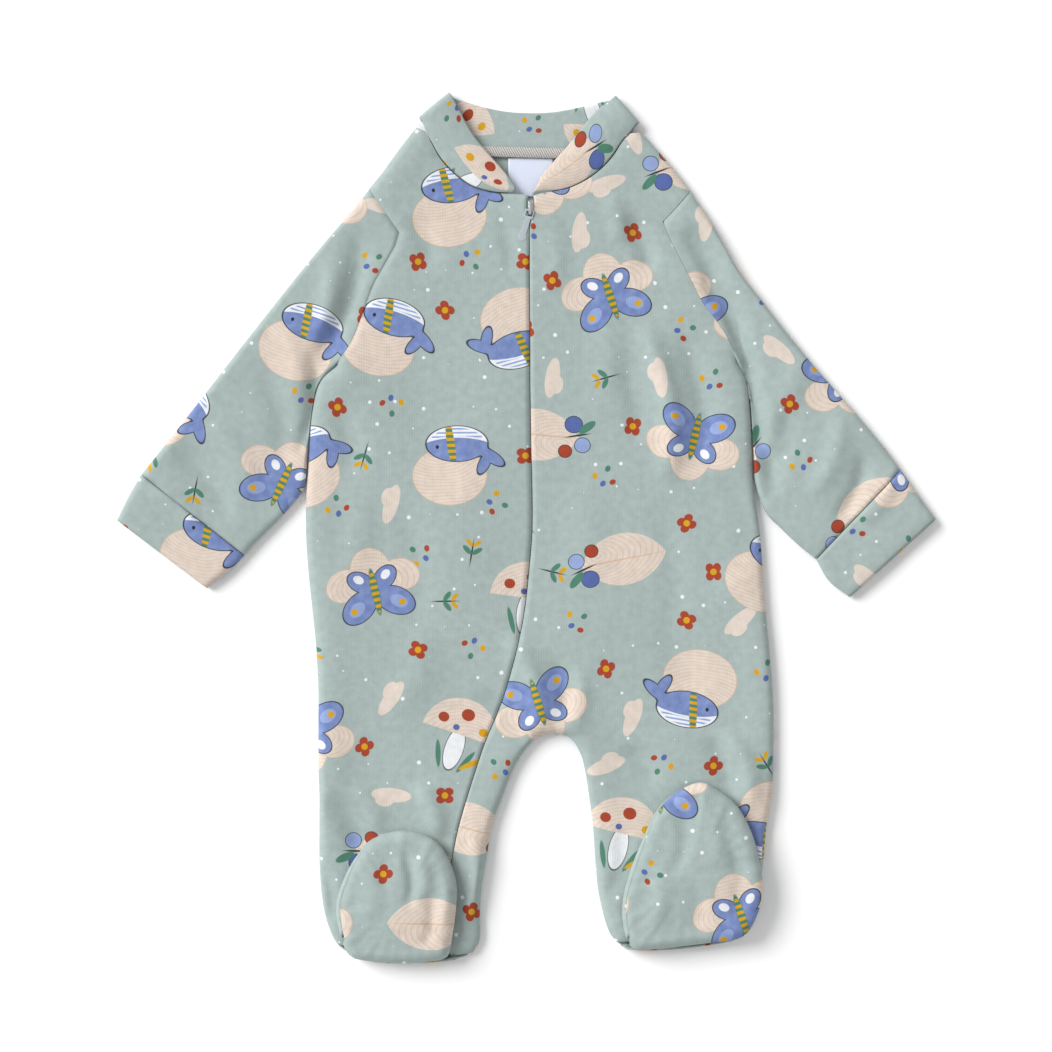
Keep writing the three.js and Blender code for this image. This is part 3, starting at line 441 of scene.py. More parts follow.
def quads(index, facing):
    """Faces between neighbouring points of a grid; welded corners leave a triangle or nothing."""
    faces = []
    for row, col in np.ndindex(index.shape[0] - 1, index.shape[1] - 1):
        corners = (index[row, col], index[row + 1, col], index[row + 1, col + 1], index[row, col + 1])
        corners = list(dict.fromkeys(int(corner) for corner in corners))
        if len(corners) > 2:
            faces.append(corners if facing > 0 else corners[::-1])
    return faces


def thicken(piece, thickness):
    """Give a sheet its thickness, inwards from the outer face."""
    shell = piece.modifiers.new("cloth thickness", "SOLIDIFY")
    shell.thickness = thickness * MM
    shell.offset = -1
    shell.use_even_offset = False
    shell.use_rim = True
    bpy.context.view_layer.objects.active = piece
    with bpy.context.temp_override(object=piece, active_object=piece, selected_objects=[piece]):
        bpy.ops.object.modifier_apply(modifier=shell.name)


def make_cloth(name, grids, facing, thickness, print_frame):
    """A cloth piece: grids of outer points joined into one sheet, thickened inwards.

    print_frame turns a grid's points into the cloth's own coordinates for the print."""
    verts, places, numbered = weld(grids, print_frame)
    faces = [face for index in numbered for face in quads(index, facing)]
    piece = solid_piece(name, verts, faces)
    attribute = piece.data.attributes.new("cloth", "FLOAT_VECTOR", "POINT")
    attribute.data.foreach_set("vector", np.array(places, np.float32).ravel())
    thicken(piece, thickness)
    return piece


def turned(angle, dx, dy, flip=1):
    """Print coordinates in metres: the pattern's plan turned and moved, as the piece was cut."""
    c, s = math.cos(math.radians(angle)), math.sin(math.radians(angle))

    def place(grid):
        x, y = grid[..., 0], grid[..., 1]
        u = (x * c - y * s) * flip + dx
        v = x * s + y * c + dy
        return np.stack([u, v, np.zeros_like(u)], axis=-1) * MM

    return place


def front_right():
    outer = np.vstack([TORSO_RIGHT, front_legs[0][1:]])
    zipped = zip_edge(np.vstack([TORSO_OPEN_RIGHT, front_legs[1][1:]]), -1)
    plan = rows_between(outer, zipped, 34, RIM, 0)
    return make_cloth("front_right_cloth", [lift(plan, front_height(plan))], 1, CLOTH, turned(0, 0, 0))


def front_left():
    """Two strips side by side, parted below the crotch: the right leg's inner strip and the rest."""
    zipped = zip_edge(np.vstack([TORSO_OPEN_LEFT, front_legs[1][1:]]), 1)
    torso_rows = len(TORSO_OPEN_LEFT)
    middle = mix(zipped[:torso_rows], TORSO_LEFT, CROTCH_SHARE_FRONT)
    near = np.vstack([rows_between(zipped[:torso_rows], middle, 10, 0, RIM),
                      rows_between(zipped[torso_rows:], front_legs[2][1:], 10, 0, RIM)])
    far = np.vstack([rows_between(middle, TORSO_LEFT, 30, RIM, RIM),
                     rows_between(front_legs[3][1:], front_legs[4][1:], 30, RIM, RIM)])
    grids = [lift(plan, front_height(plan)) for plan in (near, far)]
    return make_cloth("front_left_cloth", grids, 1, CLOTH, turned(0, 31, -17))


def dip_shape(across):
    """How the back's neckline dips between its ends, from 0 to 1."""
    return (1 - np.abs(2 * across - 1) ** 4) ** 0.7


def heel_share(y):
    """How far the foot's outline has come round the heel, from 0 at the crease to 1."""
    return ease((CREASE_Y - y) / 5)


def foot_middle(y):
    """Height of the foot's seam: over the leg, or at the heel round its whole height."""
    return mix(FOOT_BASE + (FOOT_TOP - FOOT_BASE) / 2, FOOT_TOP / 2, heel_share(y))


def back_height(points, rims, heels):
    """Height of the back's outer face: flat on the table, rolling up at sides and heels."""
    low = SIDE_SEAM - SEAM / 2
    side_rise = low * (1 - quarter_round(nearest(points, rims) / RIM))
    ends = [path[end] for path in heels for end in (0, -1)]
    from_ends = np.min([np.linalg.norm(points - end, axis=-1) - clear
                        for end, clear in zip(ends, HEEL_CLEAR)], axis=0)
    heel_top = mix(low, foot_middle(points[..., 1]), ease(from_ends / HEEL_RAMP))
    heel_rise = heel_top * (1 - quarter_round(nearest(points, heels) / HEEL_RADIUS))
    return np.maximum(side_rise, heel_rise)


def back_torso():
    """The back's two halves, each with its part of the dip at the neck."""
    middle = mix(TORSO_RIGHT, TORSO_LEFT, CROTCH_SHARE_BACK)
    whole = np.linalg.norm(TORSO_LEFT - TORSO_RIGHT, axis=1)[:, None]
    halves = []
    for a, b in ((TORSO_RIGHT, middle), (middle, TORSO_LEFT)):
        plan = rows_between(a, b, BACK_COLUMNS, RIM, RIM)
        across = np.linalg.norm(plan - TORSO_RIGHT[:, None], axis=-1) / whole
        plan[..., 1] -= NECK_DIP[:, None] * dip_shape(np.clip(across, 0, 1))
        halves.append(plan)
    return halves


def back_leg(outer, inner):
    """A leg's back, with more rows that carry it round the heel's outline."""
    leg = rows_between(outer[1:], inner[1:], BACK_COLUMNS, RIM, RIM)
    last = leg[-1]
    across = np.linalg.norm(last - last[0], axis=-1) / np.linalg.norm(last[-1] - last[0])
    arch = np.sin(np.pi * across) ** 0.5
    rows = [last - np.stack([0 * across, HEEL_BULGE * (1 - band) * arch], axis=-1) for band in HEEL_BANDS]
    return np.vstack([leg, rows])


def back():
    legs = [back_leg(back_legs[0], back_legs[2]), back_leg(back_legs[3], back_legs[4])]
    heels = [leg[-1] for leg in legs]
    rims = [TORSO_RIGHT[shoulder], TORSO_LEFT[shoulder], np.vstack([TORSO_RIGHT[side], back_legs[0]]),
            np.vstack([TORSO_LEFT[side], back_legs[4]]), np.vstack([back_legs[2][::-1], back_legs[3]])]
    plans = [np.vstack([half, leg]) for half, leg in zip(back_torso(), legs)]
    grids = [lift(plan, back_height(plan, rims, heels)) for plan in plans]
    return make_cloth("back_cloth", grids, -1, CLOTH, turned(0, 210, 90, -1))


def tube_edges(table, armhole):
    """Dense outer and inner edges of a sleeve or cuff; a sleeve starts at its armhole."""
    rows = np.array(table, float)
    if armhole is not None:
        rows = np.vstack([[*armhole[0], *armhole[-1]], rows])
    return smooth(rows[:, :2], STEPS), smooth(rows[:, 2:], STEPS)


def armhole_bow(armhole, shares, row):
    """How far the armhole bows off its chord, fading out over the sleeve's first rows."""
    fade = max(0, 1 - row / (1.4 * STEPS))
    lengths = run_lengths(armhole)
    at = shares * lengths[-1]
    curve = np.stack([np.interp(at, lengths, armhole[:, k]) for k in (0, 1)], axis=-1)
    chord = mix(armhole[0], armhole[-1], shares[:, None])
    return fade * (curve - chord)


def tube_plan(table, armhole, radius):
    """A tube's upper face seen from above, and each point's distance from the tube's edge."""
    outer, inner = tube_edges(table, armhole)
    width = np.linalg.norm(outer - inner, axis=1)
    plans, edges = [], []
    for row, (p, q) in enumerate(zip(outer, inner)):
        shares = spread(26, radius, radius, width[row])
        plan = mix(p, q, shares[:, None])
        if armhole is not None:
            plan = plan + armhole_bow(armhole, shares, row)
        plans.append(plan)
        edges.append(np.minimum(shares, 1 - shares) * width[row])
    return np.array(plans), np.array(edges)


def tube(name, table, armhole, height, wall, print_frame, facing):
    """A flattened sleeve or cuff, its upper and lower faces in one grid."""
    radius = height / 2 * SLEEVE_ROUND
    plan, edge = tube_plan(table, armhole, radius)
    half = plan.shape[1]
    top = height - np.linspace(0, SLEEVE_LEAN, half)[None, :] + CREASE_GAIN * creases(plan, SLEEVE_CREASES)
    top += 0.5 * billow(plan, 50, 8) + seam_ditch(plan, [plan[-1]], *CUFF_DITCH)
    top = np.maximum(top, 2.5 * CLOTH)
    share = quarter_round(edge / radius)
    middle = (height - SAG) / 2
    outside = mix(middle, top, share)
    if armhole is not None:
        joined = np.exp(-(nearest(plan, [armhole]) / SLEEVE_JOIN) ** 2)
        outside = mix(outside, front_height(plan[:1]) - SEAM, joined)
    upper = lift(plan, outside)
    lower = lift(plan, middle * (1 - share))[:, ::-1]

    def place(points):
        laid = print_frame(points)
        laid[:, half:, 0] += LOWER_PRINT
        return laid

    return make_cloth(name, [np.concatenate([upper, lower[:, 1:]], axis=1)], facing, wall, place)


def sleeves_and_cuffs():
    made = {}
    for which, table, hole, facing, print_frame in (
            ("right", SLEEVE_RIGHT, ARMHOLES[0] + (TUCK, 0), 1, turned(38, 40, 30)),
            ("left", SLEEVE_LEFT, ARMHOLES[1] - (TUCK, 0), -1, turned(-40, -70, 85))):
        made[f"sleeve_{which}"] = tube(f"sleeve_{which}_cloth", table, hole, SLEEVE_HEIGHT, CLOTH,
                                       print_frame, facing)
    for which, table, facing, print_frame in (
            ("right", CUFF_RIGHT, 1, turned(38, 11, 160)),
            ("left", CUFF_LEFT, -1, turned(-40, -25, 220))):
        made[f"cuff_{which}"] = tube(f"cuff_{which}_cloth", table, None, CUFF_HEIGHT, BAND,
                                     print_frame, facing)
    return made


def collar_corner(place, turns):
    """Rows of the collar where it turns over at the side of the neck."""
    rows = []
    for turn in turns:
        step = COLLAR_HEIGHT / 2 * 0.8 * math.sin(turn) * np.array(place["away"])
        height = COLLAR_HEIGHT / 2 * (1 + math.cos(turn))
        rows.append((*(np.array(place["seam"]) + step), height, *(np.array(place["edge"]) + step), height))
    return rows


def collar_rows():
    """Seam and edge of the collar, from the right front end round the back to the left."""
    turns = np.radians([0, 45, 90, 135, 180])
    neck_right, neck_left = column(TORSO, 2), column(TORSO, 4)
    rows = [(*(neck_right[ZIP_TOP - 1 - i] + (0.3, 0.35)), COLLAR_HEIGHT, *edge, COLLAR_HEIGHT)
            for i, edge in enumerate(COLLAR_RIGHT_EDGE)]
    rows += collar_corner(COLLAR_CORNER_RIGHT, turns)
    for across, x, y in COLLAR_BACK_EDGE:
        seam = back_neck(across) + (0, 2 * SEAM)
        rows.append((*seam, 0, x, y, 0))
    rows += collar_corner(COLLAR_CORNER_LEFT, turns[::-1])
    rows += [(*(neck_left[i] + (-0.5, 0.35)), COLLAR_HEIGHT, *edge, COLLAR_HEIGHT)
             for i, edge in enumerate(COLLAR_LEFT_EDGE)]
    return rows


def collar():
    """One double band: its front ends lie on its back part, turned at the two top corners."""
    dense = smooth(collar_rows(), 8)
    across = np.linspace(0, 1, 22)
    grid = mix(dense[:, None, :3], dense[:, None, 3:], across[None, :, None])
    crown = np.sin(np.pi * np.clip(across, 0.02, 0.98)) ** 0.6
    swell = np.clip(dense[:, 2] / COLLAR_HEIGHT, 0, 1)[:, None]
    grid[..., 2] += swell * (COLLAR_CROWN * crown[None, :] - COLLAR_EDGE)
    grid[..., 2] += 0.25 * swell * billow(grid[..., :2], 34, 12)
    grid[..., 2] = np.maximum(grid[..., 2], 0)
    along = run_lengths(dense[:, :3])

    def place(points):
        u = np.repeat(along[:, None], points.shape[1], axis=1)
        v = np.repeat(across[None, :] * COLLAR_WIDTH, points.shape[0], axis=0)
        return np.stack([u + 14, v + 331, 0 * u], axis=-1) * MM

    return make_cloth("collar_cloth", [grid], -1, BAND, place)


def drawn_in(rim, angle):
    """A foot's outline drawn in as its edge rolls over, by the angle round the edge."""
    centre = rim.mean(axis=0)
    away = np.linalg.norm(rim - centre, axis=1)
    inward = FOOT_RIM * (1 - np.cos(angle)) / away
    return mix(rim, centre, inward[:, None])


def upper_rings(rim, seam):
    """Rings of a foot's upper, from its seam round and under the foot to its middle."""
    rings = []
    for share in np.linspace(0, 1, 12):
        angle = mix(seam, -math.pi / 2, share)
        height = FOOT_BASE + (FOOT_TOP - FOOT_BASE) / 2 * (1 + np.sin(angle)) - (share == 0) * SEAM / 2
        height = np.where(rim[:, 1] < CREASE_Y, FOOT_BASE, height)
        rings.append(lift(drawn_in(rim, angle), height))
    for share in (0.3, 0.6, 1):
        rings.append(lift(mix(rim, rim.mean(axis=0), share), np.full(len(rim), FOOT_BASE)))
    return np.array(rings)


def sole_rings(rim, seam):
    """Rings of a folded-up foot's sole, from its seam over the edge to its middle."""
    centre = rim.mean(axis=0)
    middle = foot_middle(rim[:, 1])
    rings = []
    for share in np.linspace(0, 1, 14):
        angle = mix(seam, math.pi / 2, share)
        height = middle + (FOOT_TOP - middle) * np.sin(angle) + (share == 0) * SEAM / 2
        rings.append(lift(drawn_in(rim, angle), height))
    first = (FOOT_RIM / np.linalg.norm(rim - centre, axis=1))[:, None]
    for share in np.linspace(0.06, 1, 16):
        plan = mix(rim, centre, mix(first, 1, share))
        rings.append(lift(plan, FOOT_TOP + SOLE_CROWN * ease(share * 1.3) + np.zeros(len(rim))))
    return np.array(rings)


def seam_angle(rim):
    """Where round the foot's edge its seam runs: higher on one side, where the upper shows."""
    middle = rim[:, 0].mean()
    half = np.abs(rim[:, 0] - middle).max()
    return ease((middle - rim[:, 0]) / half) * (1 - heel_share(rim[:, 1])) * SOLE_RIM_TURN


def gathers(rings, around):
    """Small puckers where the sole is eased into its seam, fading inwards."""
    turn = np.arange(around) / around * math.tau
    waves = np.sin(17 * turn) * (0.5 + 0.5 * np.sin(3 * turn + 1)) + 0.6 * np.sin(29 * turn + 2)
    ring = np.arange(rings)[:, None]
    return 0.3 * waves * ease(ring / 4) * ease((22 - ring) / 10)


def closed(rings):
    """Rings joined up, each with its first point again at its end."""
    return np.concatenate([rings, rings[:, :1]], axis=1)


def sole(which, rim, seam):
    grid = sole_rings(rim, seam)
    inside = np.linspace(0, 1, len(grid))[:, None] > 0.02
    grid[..., 2] += inside * 1.5 * creases(grid[..., :2], SOLE_CREASES[which])
    grid[..., 2] += gathers(len(grid), grid.shape[1])
    grid[..., 2] += inside * 0.35 * billow(grid[..., :2], 30, 21)
    return make_cloth(f"sole_{which}_cloth", [closed(grid)], -1, CLOTH, turned(180, 120, 40))


def foot_upper(which, rim, seam):
    """The upper ends at the fold, so its heel's side is drawn up to it."""
    folded = rim.copy()
    folded[:, 1] = np.maximum(rim[:, 1], CREASE_Y + 0.02 * (rim[:, 1] - CREASE_Y))
    grid = upper_rings(folded, np.where(rim[:, 1] < CREASE_Y, 0, seam))
    return make_cloth(f"foot_upper_{which}_cloth", [closed(grid)], 1, CLOTH, turned(180, 77, 9))


def feet():
    made = {}
    for which, outline in (("right", FOOT_RIGHT), ("left", FOOT_LEFT)):
        rim = closed_curve(outline, 6)
        seam = seam_angle(rim)
        made[f"sole_{which}"] = sole(which, rim, seam)
        made[f"foot_upper_{which}"] = foot_upper(which, rim, seam)
    return made


def back_neck(across):
    """The back's neckline at a share of its way from right to left."""
    start, end = np.array(TORSO[0][:2]), np.array(TORSO[0][6:8])
    return mix(start, end, across) - (0, TORSO[0][8] * dip_shape(across))


def neck_seam():
    """The overlocked allowance inside the back neck, a low round ridge."""
    half_width, base, crown = 3.0, 3.5, 0.8
    rows = []
    for across in np.linspace(0.15, 0.87, 90):
        x, y = back_neck(across)
        rows.append([(x, y + off, base + crown * math.cos(off / 3.2 * math.pi / 2))
                     for off in np.linspace(-half_width, half_width, 12)])
    return make_cloth("neck_seam_cloth", [np.array(rows)], 1, 0.8, turned(0, 0, 0))


def label():
    """A plain ribbon hanging from the neck seam, its lower end curling a little."""
    x0, y0, width, length, base = -10.0, 192.2, 26.0, 22.6, 2.3
    rows = []
    for up in np.linspace(0, 1, 24):
        row = []
        for across in np.linspace(0, 1, 24):
            curl = 0.35 * math.sin(across * 5 + 1) * (1 - up) + 0.5 * ease(1 - 4 * across) * (1 - up)
            row.append([x0 + across * width, y0 + up * length, base + curl])
        rows.append(row)
    return make_cloth("label_cloth", [np.array(rows)], -1, 0.5, turned(0, 0, 0))


def zip_line():
    return np.vstack([TORSO_OPEN_RIGHT[(ZIP_TOP + 1) * STEPS:], leg_curves([])[1][1:]])


def tape_height(points):
    return np.minimum(front_height(points) - TAPE_BELOW, TAPE_TOP)


def zip_tape():
    """Both tapes as one band under the fronts, narrower where the leg's edge is near."""
    half_width, edge_clear = 11.0, 5.5
    inner = np.vstack([TORSO_OPEN_RIGHT[(ZIP_TOP + 1) * STEPS:] + (40, 0), leg_curves([])[2][1:]])
    rows = []
    for p, q in zip(zip_line(), inner):
        reach = min(half_width, q[0] - p[0] - edge_clear)
        offsets = np.concatenate([np.linspace(-half_width, 0, 8), np.linspace(0, reach, 8)[1:]])
        rows.append([p + (offset, 0) for offset in offsets])
    plan = np.array(rows)
    return make_cloth("zip_tape_cloth", [lift(plan, tape_height(plan))], 1, 0.6, turned(0, 0, 0))


def zip_coil():
    """The closed coil: pairs of nylon turns along the zip, under the gap of the fronts."""
    pitch, half_width, wire, sides = 1.5, 1.7, 0.32, 6
    line = zip_line()
    lengths = run_lengths(line)
    angles = math.tau * np.arange(sides) / sides
    around = np.stack([0 * angles, wire * np.cos(angles), wire * np.sin(angles)], axis=-1)
    verts, faces = [], []
    for number in range(int(lengths[-1] / pitch)):
        x, y = (np.interp(number * pitch, lengths, line[:, k]) for k in (0, 1))
        base = float(tape_height(np.array([[x, y]]))[0]) + wire
        way = 1 if number % 2 else -1
        first = len(verts)
        for across, along, up in ((-half_width, 0.0, 0.0), (-0.5, 0.12, 0.35), (half_width, 0.5, 0.15)):
            centre = np.array([x + across * way, y + along, base + up])
            verts += list((centre + around - ORIGIN) * MM)
        rings = [list(range(start, start + sides)) for start in range(first, len(verts), sides)]
        for ring, after in zip(rings, rings[1:]):
            faces += [[ring[k - 1], ring[k], after[k], after[k - 1]] for k in range(sides)]
        faces += [rings[0][::-1], rings[-1]]
    return solid_piece("zip_coil", verts, faces)


def principled(name, levels):
    material = bpy.data.materials.new(name)
    material.use_nodes = True
    shader = material.node_tree.nodes["Principled BSDF"]
    for key, value in levels.items():
        shader.inputs[key].default_value = value
    return material, shader


def srgb(red, green, blue):
    """A colour given as it shows on a screen, 0 to 255, as Blender's linear colour."""
    levels = [value / 255 for value in (red, green, blue)]
    return tuple(v / 12.92 if v <= 0.04045 else ((v + 0.055) / 1.055) ** 2.4 for v in levels) + (1.0,)


SAGE, DEEP_SAGE = srgb(162, 176, 173), srgb(151, 166, 162)
BEIGE, WOOD = srgb(211, 198, 187), srgb(202, 174, 148)
BLUE, PALE_BLUE, INK = srgb(84, 102, 160), srgb(140, 158, 200), srgb(40, 47, 52)
MUSTARD, RUST, GREEN, WHITE = srgb(202, 154, 30), srgb(158, 66, 44), srgb(76, 124, 104), srgb(224, 227, 229)

# The print's lattices, in millimetres: large motifs, small ones, white dots
LARGE_CELL = (84.0, 76.0)
SMALL_CELL = (31.0, 28.0)
DOT_CELL = (15.0, 13.0)
MOTIF_REACH = 30.0                       # large motifs keep small ones this far from their middle
SMALL_SHRINK = 1.12                      # motifs are printed this much smaller than drawn
LARGE_SHRINK = 1.14
SOFT_EDGE = 0.35                         # how soft a printed edge is


class Nodes:
    """Short ways to add shader nodes; each value is a socket or a plain constant."""

    def __init__(self, material):
        self.tree = material.node_tree

    def add(self, kind, *values, **settings):
        node = self.tree.nodes.new(kind)
        for key, value in settings.items():
            setattr(node, key, value)
        for socket, value in zip(node.inputs, values):
            self.feed(socket, value)
        return node

    def feed(self, socket, value):
        if isinstance(value, bpy.types.NodeSocket):
            self.tree.links.new(value, socket)
        elif value is not None:
            socket.default_value = value

    def num(self, operation, *values, clamp=False):
        return self.add("ShaderNodeMath", *values, operation=operation, use_clamp=clamp).outputs[0]

    def vec(self, operation, *values):
        node = self.add("ShaderNodeVectorMath", *values, operation=operation)
        return node.outputs["Value" if operation in ("LENGTH", "DOT_PRODUCT") else "Vector"]

    def mix(self, share, below, above):
        node = self.add("ShaderNodeMix", data_type="RGBA")
        for index, value in ((0, share), (6, below), (7, above)):
            self.feed(node.inputs[index], value)
        return node.outputs[2]

    def join(self, x, y, z=0.0):
        return self.add("ShaderNodeCombineXYZ", x, y, z).outputs[0]

    def split(self, vector):
        return self.add("ShaderNodeSeparateXYZ", vector).outputs

    def turn(self, vector, angle):
        node = self.add("ShaderNodeVectorRotate", rotation_type="Z_AXIS")
        self.feed(node.inputs["Vector"], vector)
        self.feed(node.inputs["Angle"], angle)
        return node.outputs[0]

    def noise(self, vector, scale, detail=2.0):
        node = self.add("ShaderNodeTexNoise")
        self.feed(node.inputs["Vector"], vector)
        node.inputs["Scale"].default_value = scale
        node.inputs["Detail"].default_value = detail
        return node.outputs[0]

    def cell(self, place, size, seed):
        """Brick lattice: place within the cell, and three random numbers of the cell."""
        x, y, _ = self.split(self.vec("DIVIDE", place, (*size, 1.0)))
        row = self.num("FLOOR", y)
        shifted = self.num("MULTIPLY_ADD", row, 0.5, x)
        col = self.num("FLOOR", shifted)
        random = self.add("ShaderNodeTexWhiteNoise", self.join(col, row, seed), noise_dimensions="3D")
        inside = self.join(self.num("SUBTRACT", shifted, col), self.num("SUBTRACT", y, row))
        local = self.vec("MULTIPLY", self.vec("SUBTRACT", inside, (0.5, 0.5, 0.0)), (*size, 1.0))
        return local, self.split(random.outputs["Color"])

    def ellipse(self, place, x, y, wide, tall, angle=0.0):
        """Distance outside an ellipse of the given half sizes, in millimetres."""
        moved = self.vec("SUBTRACT", place, (x, y, 0.0))
        if angle:
            moved = self.turn(moved, math.radians(-angle))
        scaled = self.vec("LENGTH", self.vec("DIVIDE", moved, (wide, tall, 1.0)))
        small = min(wide, tall)
        return self.num("MULTIPLY_ADD", scaled, small, -small)

    def paint(self, under, distance, ink, where=None, grown=0.0):
        """Paint a shape over what is there; grown makes it that much larger all round."""
        if grown:
            distance = self.num("SUBTRACT", distance, grown)
        share = self.num("MULTIPLY_ADD", distance, -1 / SOFT_EDGE, 0.5, clamp=True)
        if where is not None:
            share = self.num("MULTIPLY", share, where)
        return self.mix(share, under, ink)

    def outlined(self, under, distance, ink, line, width, where):
        return self.paint(self.paint(under, distance, line, where, width), distance, ink, where)

    def dabs(self, color, place, where, shapes):
        """Ellipses, one over another: x, y, half width, half height, turn, ink."""
        for x, y, wide, tall, angle, ink in shapes:
            color = self.paint(color, self.ellipse(place, x, y, wide, tall, angle), ink, where)
        return color

    def striped(self, distance, place, rate, share=0.0):
        """A shape kept only where stripes across it run; share makes the stripes narrower."""
        wave = self.num("SINE", self.num("MULTIPLY", self.split(place)[1], rate))
        return self.num("MAXIMUM", distance, self.num("SUBTRACT", share, wave))

    def mirrored(self, place):
        """The place with its left half folded over onto its right."""
        x, y, _ = self.split(place)
        return self.join(self.num("ABSOLUTE", x), y)

    def scattered(self, first, second, wide, tall):
        """A random offset within a box, from two random numbers."""
        return self.join(self.num("MULTIPLY_ADD", first, wide, -wide / 2),
                         self.num("MULTIPLY_ADD", second, tall, -tall / 2))

    def bump(self, shader, height, strength, distance):
        node = self.add("ShaderNodeBump")
        node.inputs["Strength"].default_value = strength
        node.inputs["Distance"].default_value = distance * MM
        self.feed(node.inputs["Height"], height)
        self.feed(shader.inputs["Normal"], node.outputs[0])


def wood_lines(n, place):
    """Pale beige with fine wavy lines."""
    swirl = n.noise(place, 0.05, 0.0)
    rings = n.vec("LENGTH", n.vec("MULTIPLY", n.vec("SUBTRACT", place, (9.0, -5.0, 0.0)), (1.0, 1.7, 1.0)))
    wave = n.num("SINE", n.num("MULTIPLY_ADD", swirl, 9.0, n.num("MULTIPLY", rings, 1.7)))
    return n.mix(n.num("MULTIPLY_ADD", wave, 1.4, -0.75, clamp=True), BEIGE, WOOD)


def leaf(n, color, p, on, inks):
    """A large beige leaf with a rib, and berries on its stem."""
    _, wood = inks
    p = n.vec("ADD", p, (7.0, 0.0, 0.0))
    bow = n.vec("ADD", n.vec("ABSOLUTE", p), (0.0, 15.0, 0.0))
    color = n.paint(color, n.num("SUBTRACT", n.vec("LENGTH", bow), 32.0), wood, on)
    color = n.dabs(color, p, on, ((0, 0, 25, 0.5, 0, WOOD), (27, 2, 8, 0.6, 14, INK)))
    for x, y, r, ink in ((24, 9, 5.6, BLUE), (31, -4, 5.0, PALE_BLUE), (20, -9, 4.2, RUST)):
        color = n.outlined(color, n.ellipse(p, x, y, r, r * 0.94), ink, INK, 0.45, on)
    return n.dabs(color, p, on, ((33, 8, 6.5, 2.6, 40, GREEN),))


def whale(n, color, p, on, inks):
    """A blue whale with a pale striped belly and a scarf, before a beige shell."""
    blue, wood = inks
    color = n.outlined(color, n.ellipse(p, 2, 13, 24, 19), wood, WOOD, 0.4, on)
    p = n.vec("SUBTRACT", p, (-3.0, -8.0, 0.0))
    fluke = n.num("MINIMUM", n.ellipse(p, -23, 9, 9.0, 3.6, -34), n.ellipse(p, -18, 13, 7.5, 3.4, 62))
    whole = n.num("SMOOTH_MIN", n.ellipse(p, 0, 0, 20, 11.5), fluke, 3.0)
    color = n.outlined(color, whole, blue, INK, 0.55, on)
    belly = n.num("MAXIMUM", whole, n.num("MULTIPLY", n.ellipse(p, 0, 12, 34, 16), -1.0))
    color = n.paint(color, belly, WHITE, on)
    color = n.paint(color, n.striped(n.num("ADD", belly, 1.0), p, 2.4, 0.25), PALE_BLUE, on)
    scarf = n.num("MAXIMUM", whole, n.ellipse(p, 4, 0, 2.6, 16, 8))
    color = n.paint(color, scarf, GREEN, on)
    color = n.paint(color, n.striped(scarf, p, 1.6), MUSTARD, on)
    return n.dabs(color, p, on, ((13, 2, 1.1, 1.3, 0, INK),))


def toadstool(n, color, p, on, inks):
    """A beige toadstool with spots on a pale stem, between blades of grass."""
    _, wood = inks
    color = n.dabs(color, p, on, ((-9, -18, 1.7, 9, 20, GREEN), (10, -18, 1.7, 9, -24, GREEN),
                                  (14, -18, 1.7, 9, -50, MUSTARD)))
    color = n.outlined(color, n.ellipse(p, 0, -12, 6, 14), WHITE, INK, 0.4, on)
    below = n.num("SUBTRACT", -2.0, n.split(p)[1])
    color = n.paint(color, n.num("MAXIMUM", n.ellipse(p, 0, -2, 25, 24), below), wood, on)
    for x, y, r, ink in ((-13, 6, 3.6, RUST), (2, 12, 4.4, RUST), (15, 4, 3.0, MUSTARD), (-3, 2, 2.2, BLUE)):
        color = n.paint(color, n.ellipse(p, x, y, r, r * 0.9), ink, on)
    return color


def butterfly(n, color, p, on, inks):
    """A blue butterfly with ink edges and a green and mustard body, over a beige bloom."""
    blue, wood = inks
    half = n.mirrored(p)
    bloom = n.num("MINIMUM", n.ellipse(half, 19, -8, 12, 10, 20), n.ellipse(p, 0, -14, 13, 15))
    color = n.outlined(color, bloom, wood, WOOD, 0.4, on)
    wings = n.num("MINIMUM", n.ellipse(half, 12, 8, 13, 8.6, 34), n.ellipse(half, 8, -8, 9, 6.2, -38))
    color = n.outlined(color, wings, blue, INK, 0.55, on)
    color = n.dabs(color, half, on, ((14, 9, 6, 4, 34, PALE_BLUE), (16, 10, 2.4, 2.0, 0, MUSTARD),
                                     (9, -10, 3.6, 2.6, -38, WHITE)))
    body = n.ellipse(p, 0, 0, 2.4, 14)
    color = n.paint(color, body, GREEN, on, 0.3)
    return n.paint(color, n.striped(body, p, 1.5), MUSTARD, on)


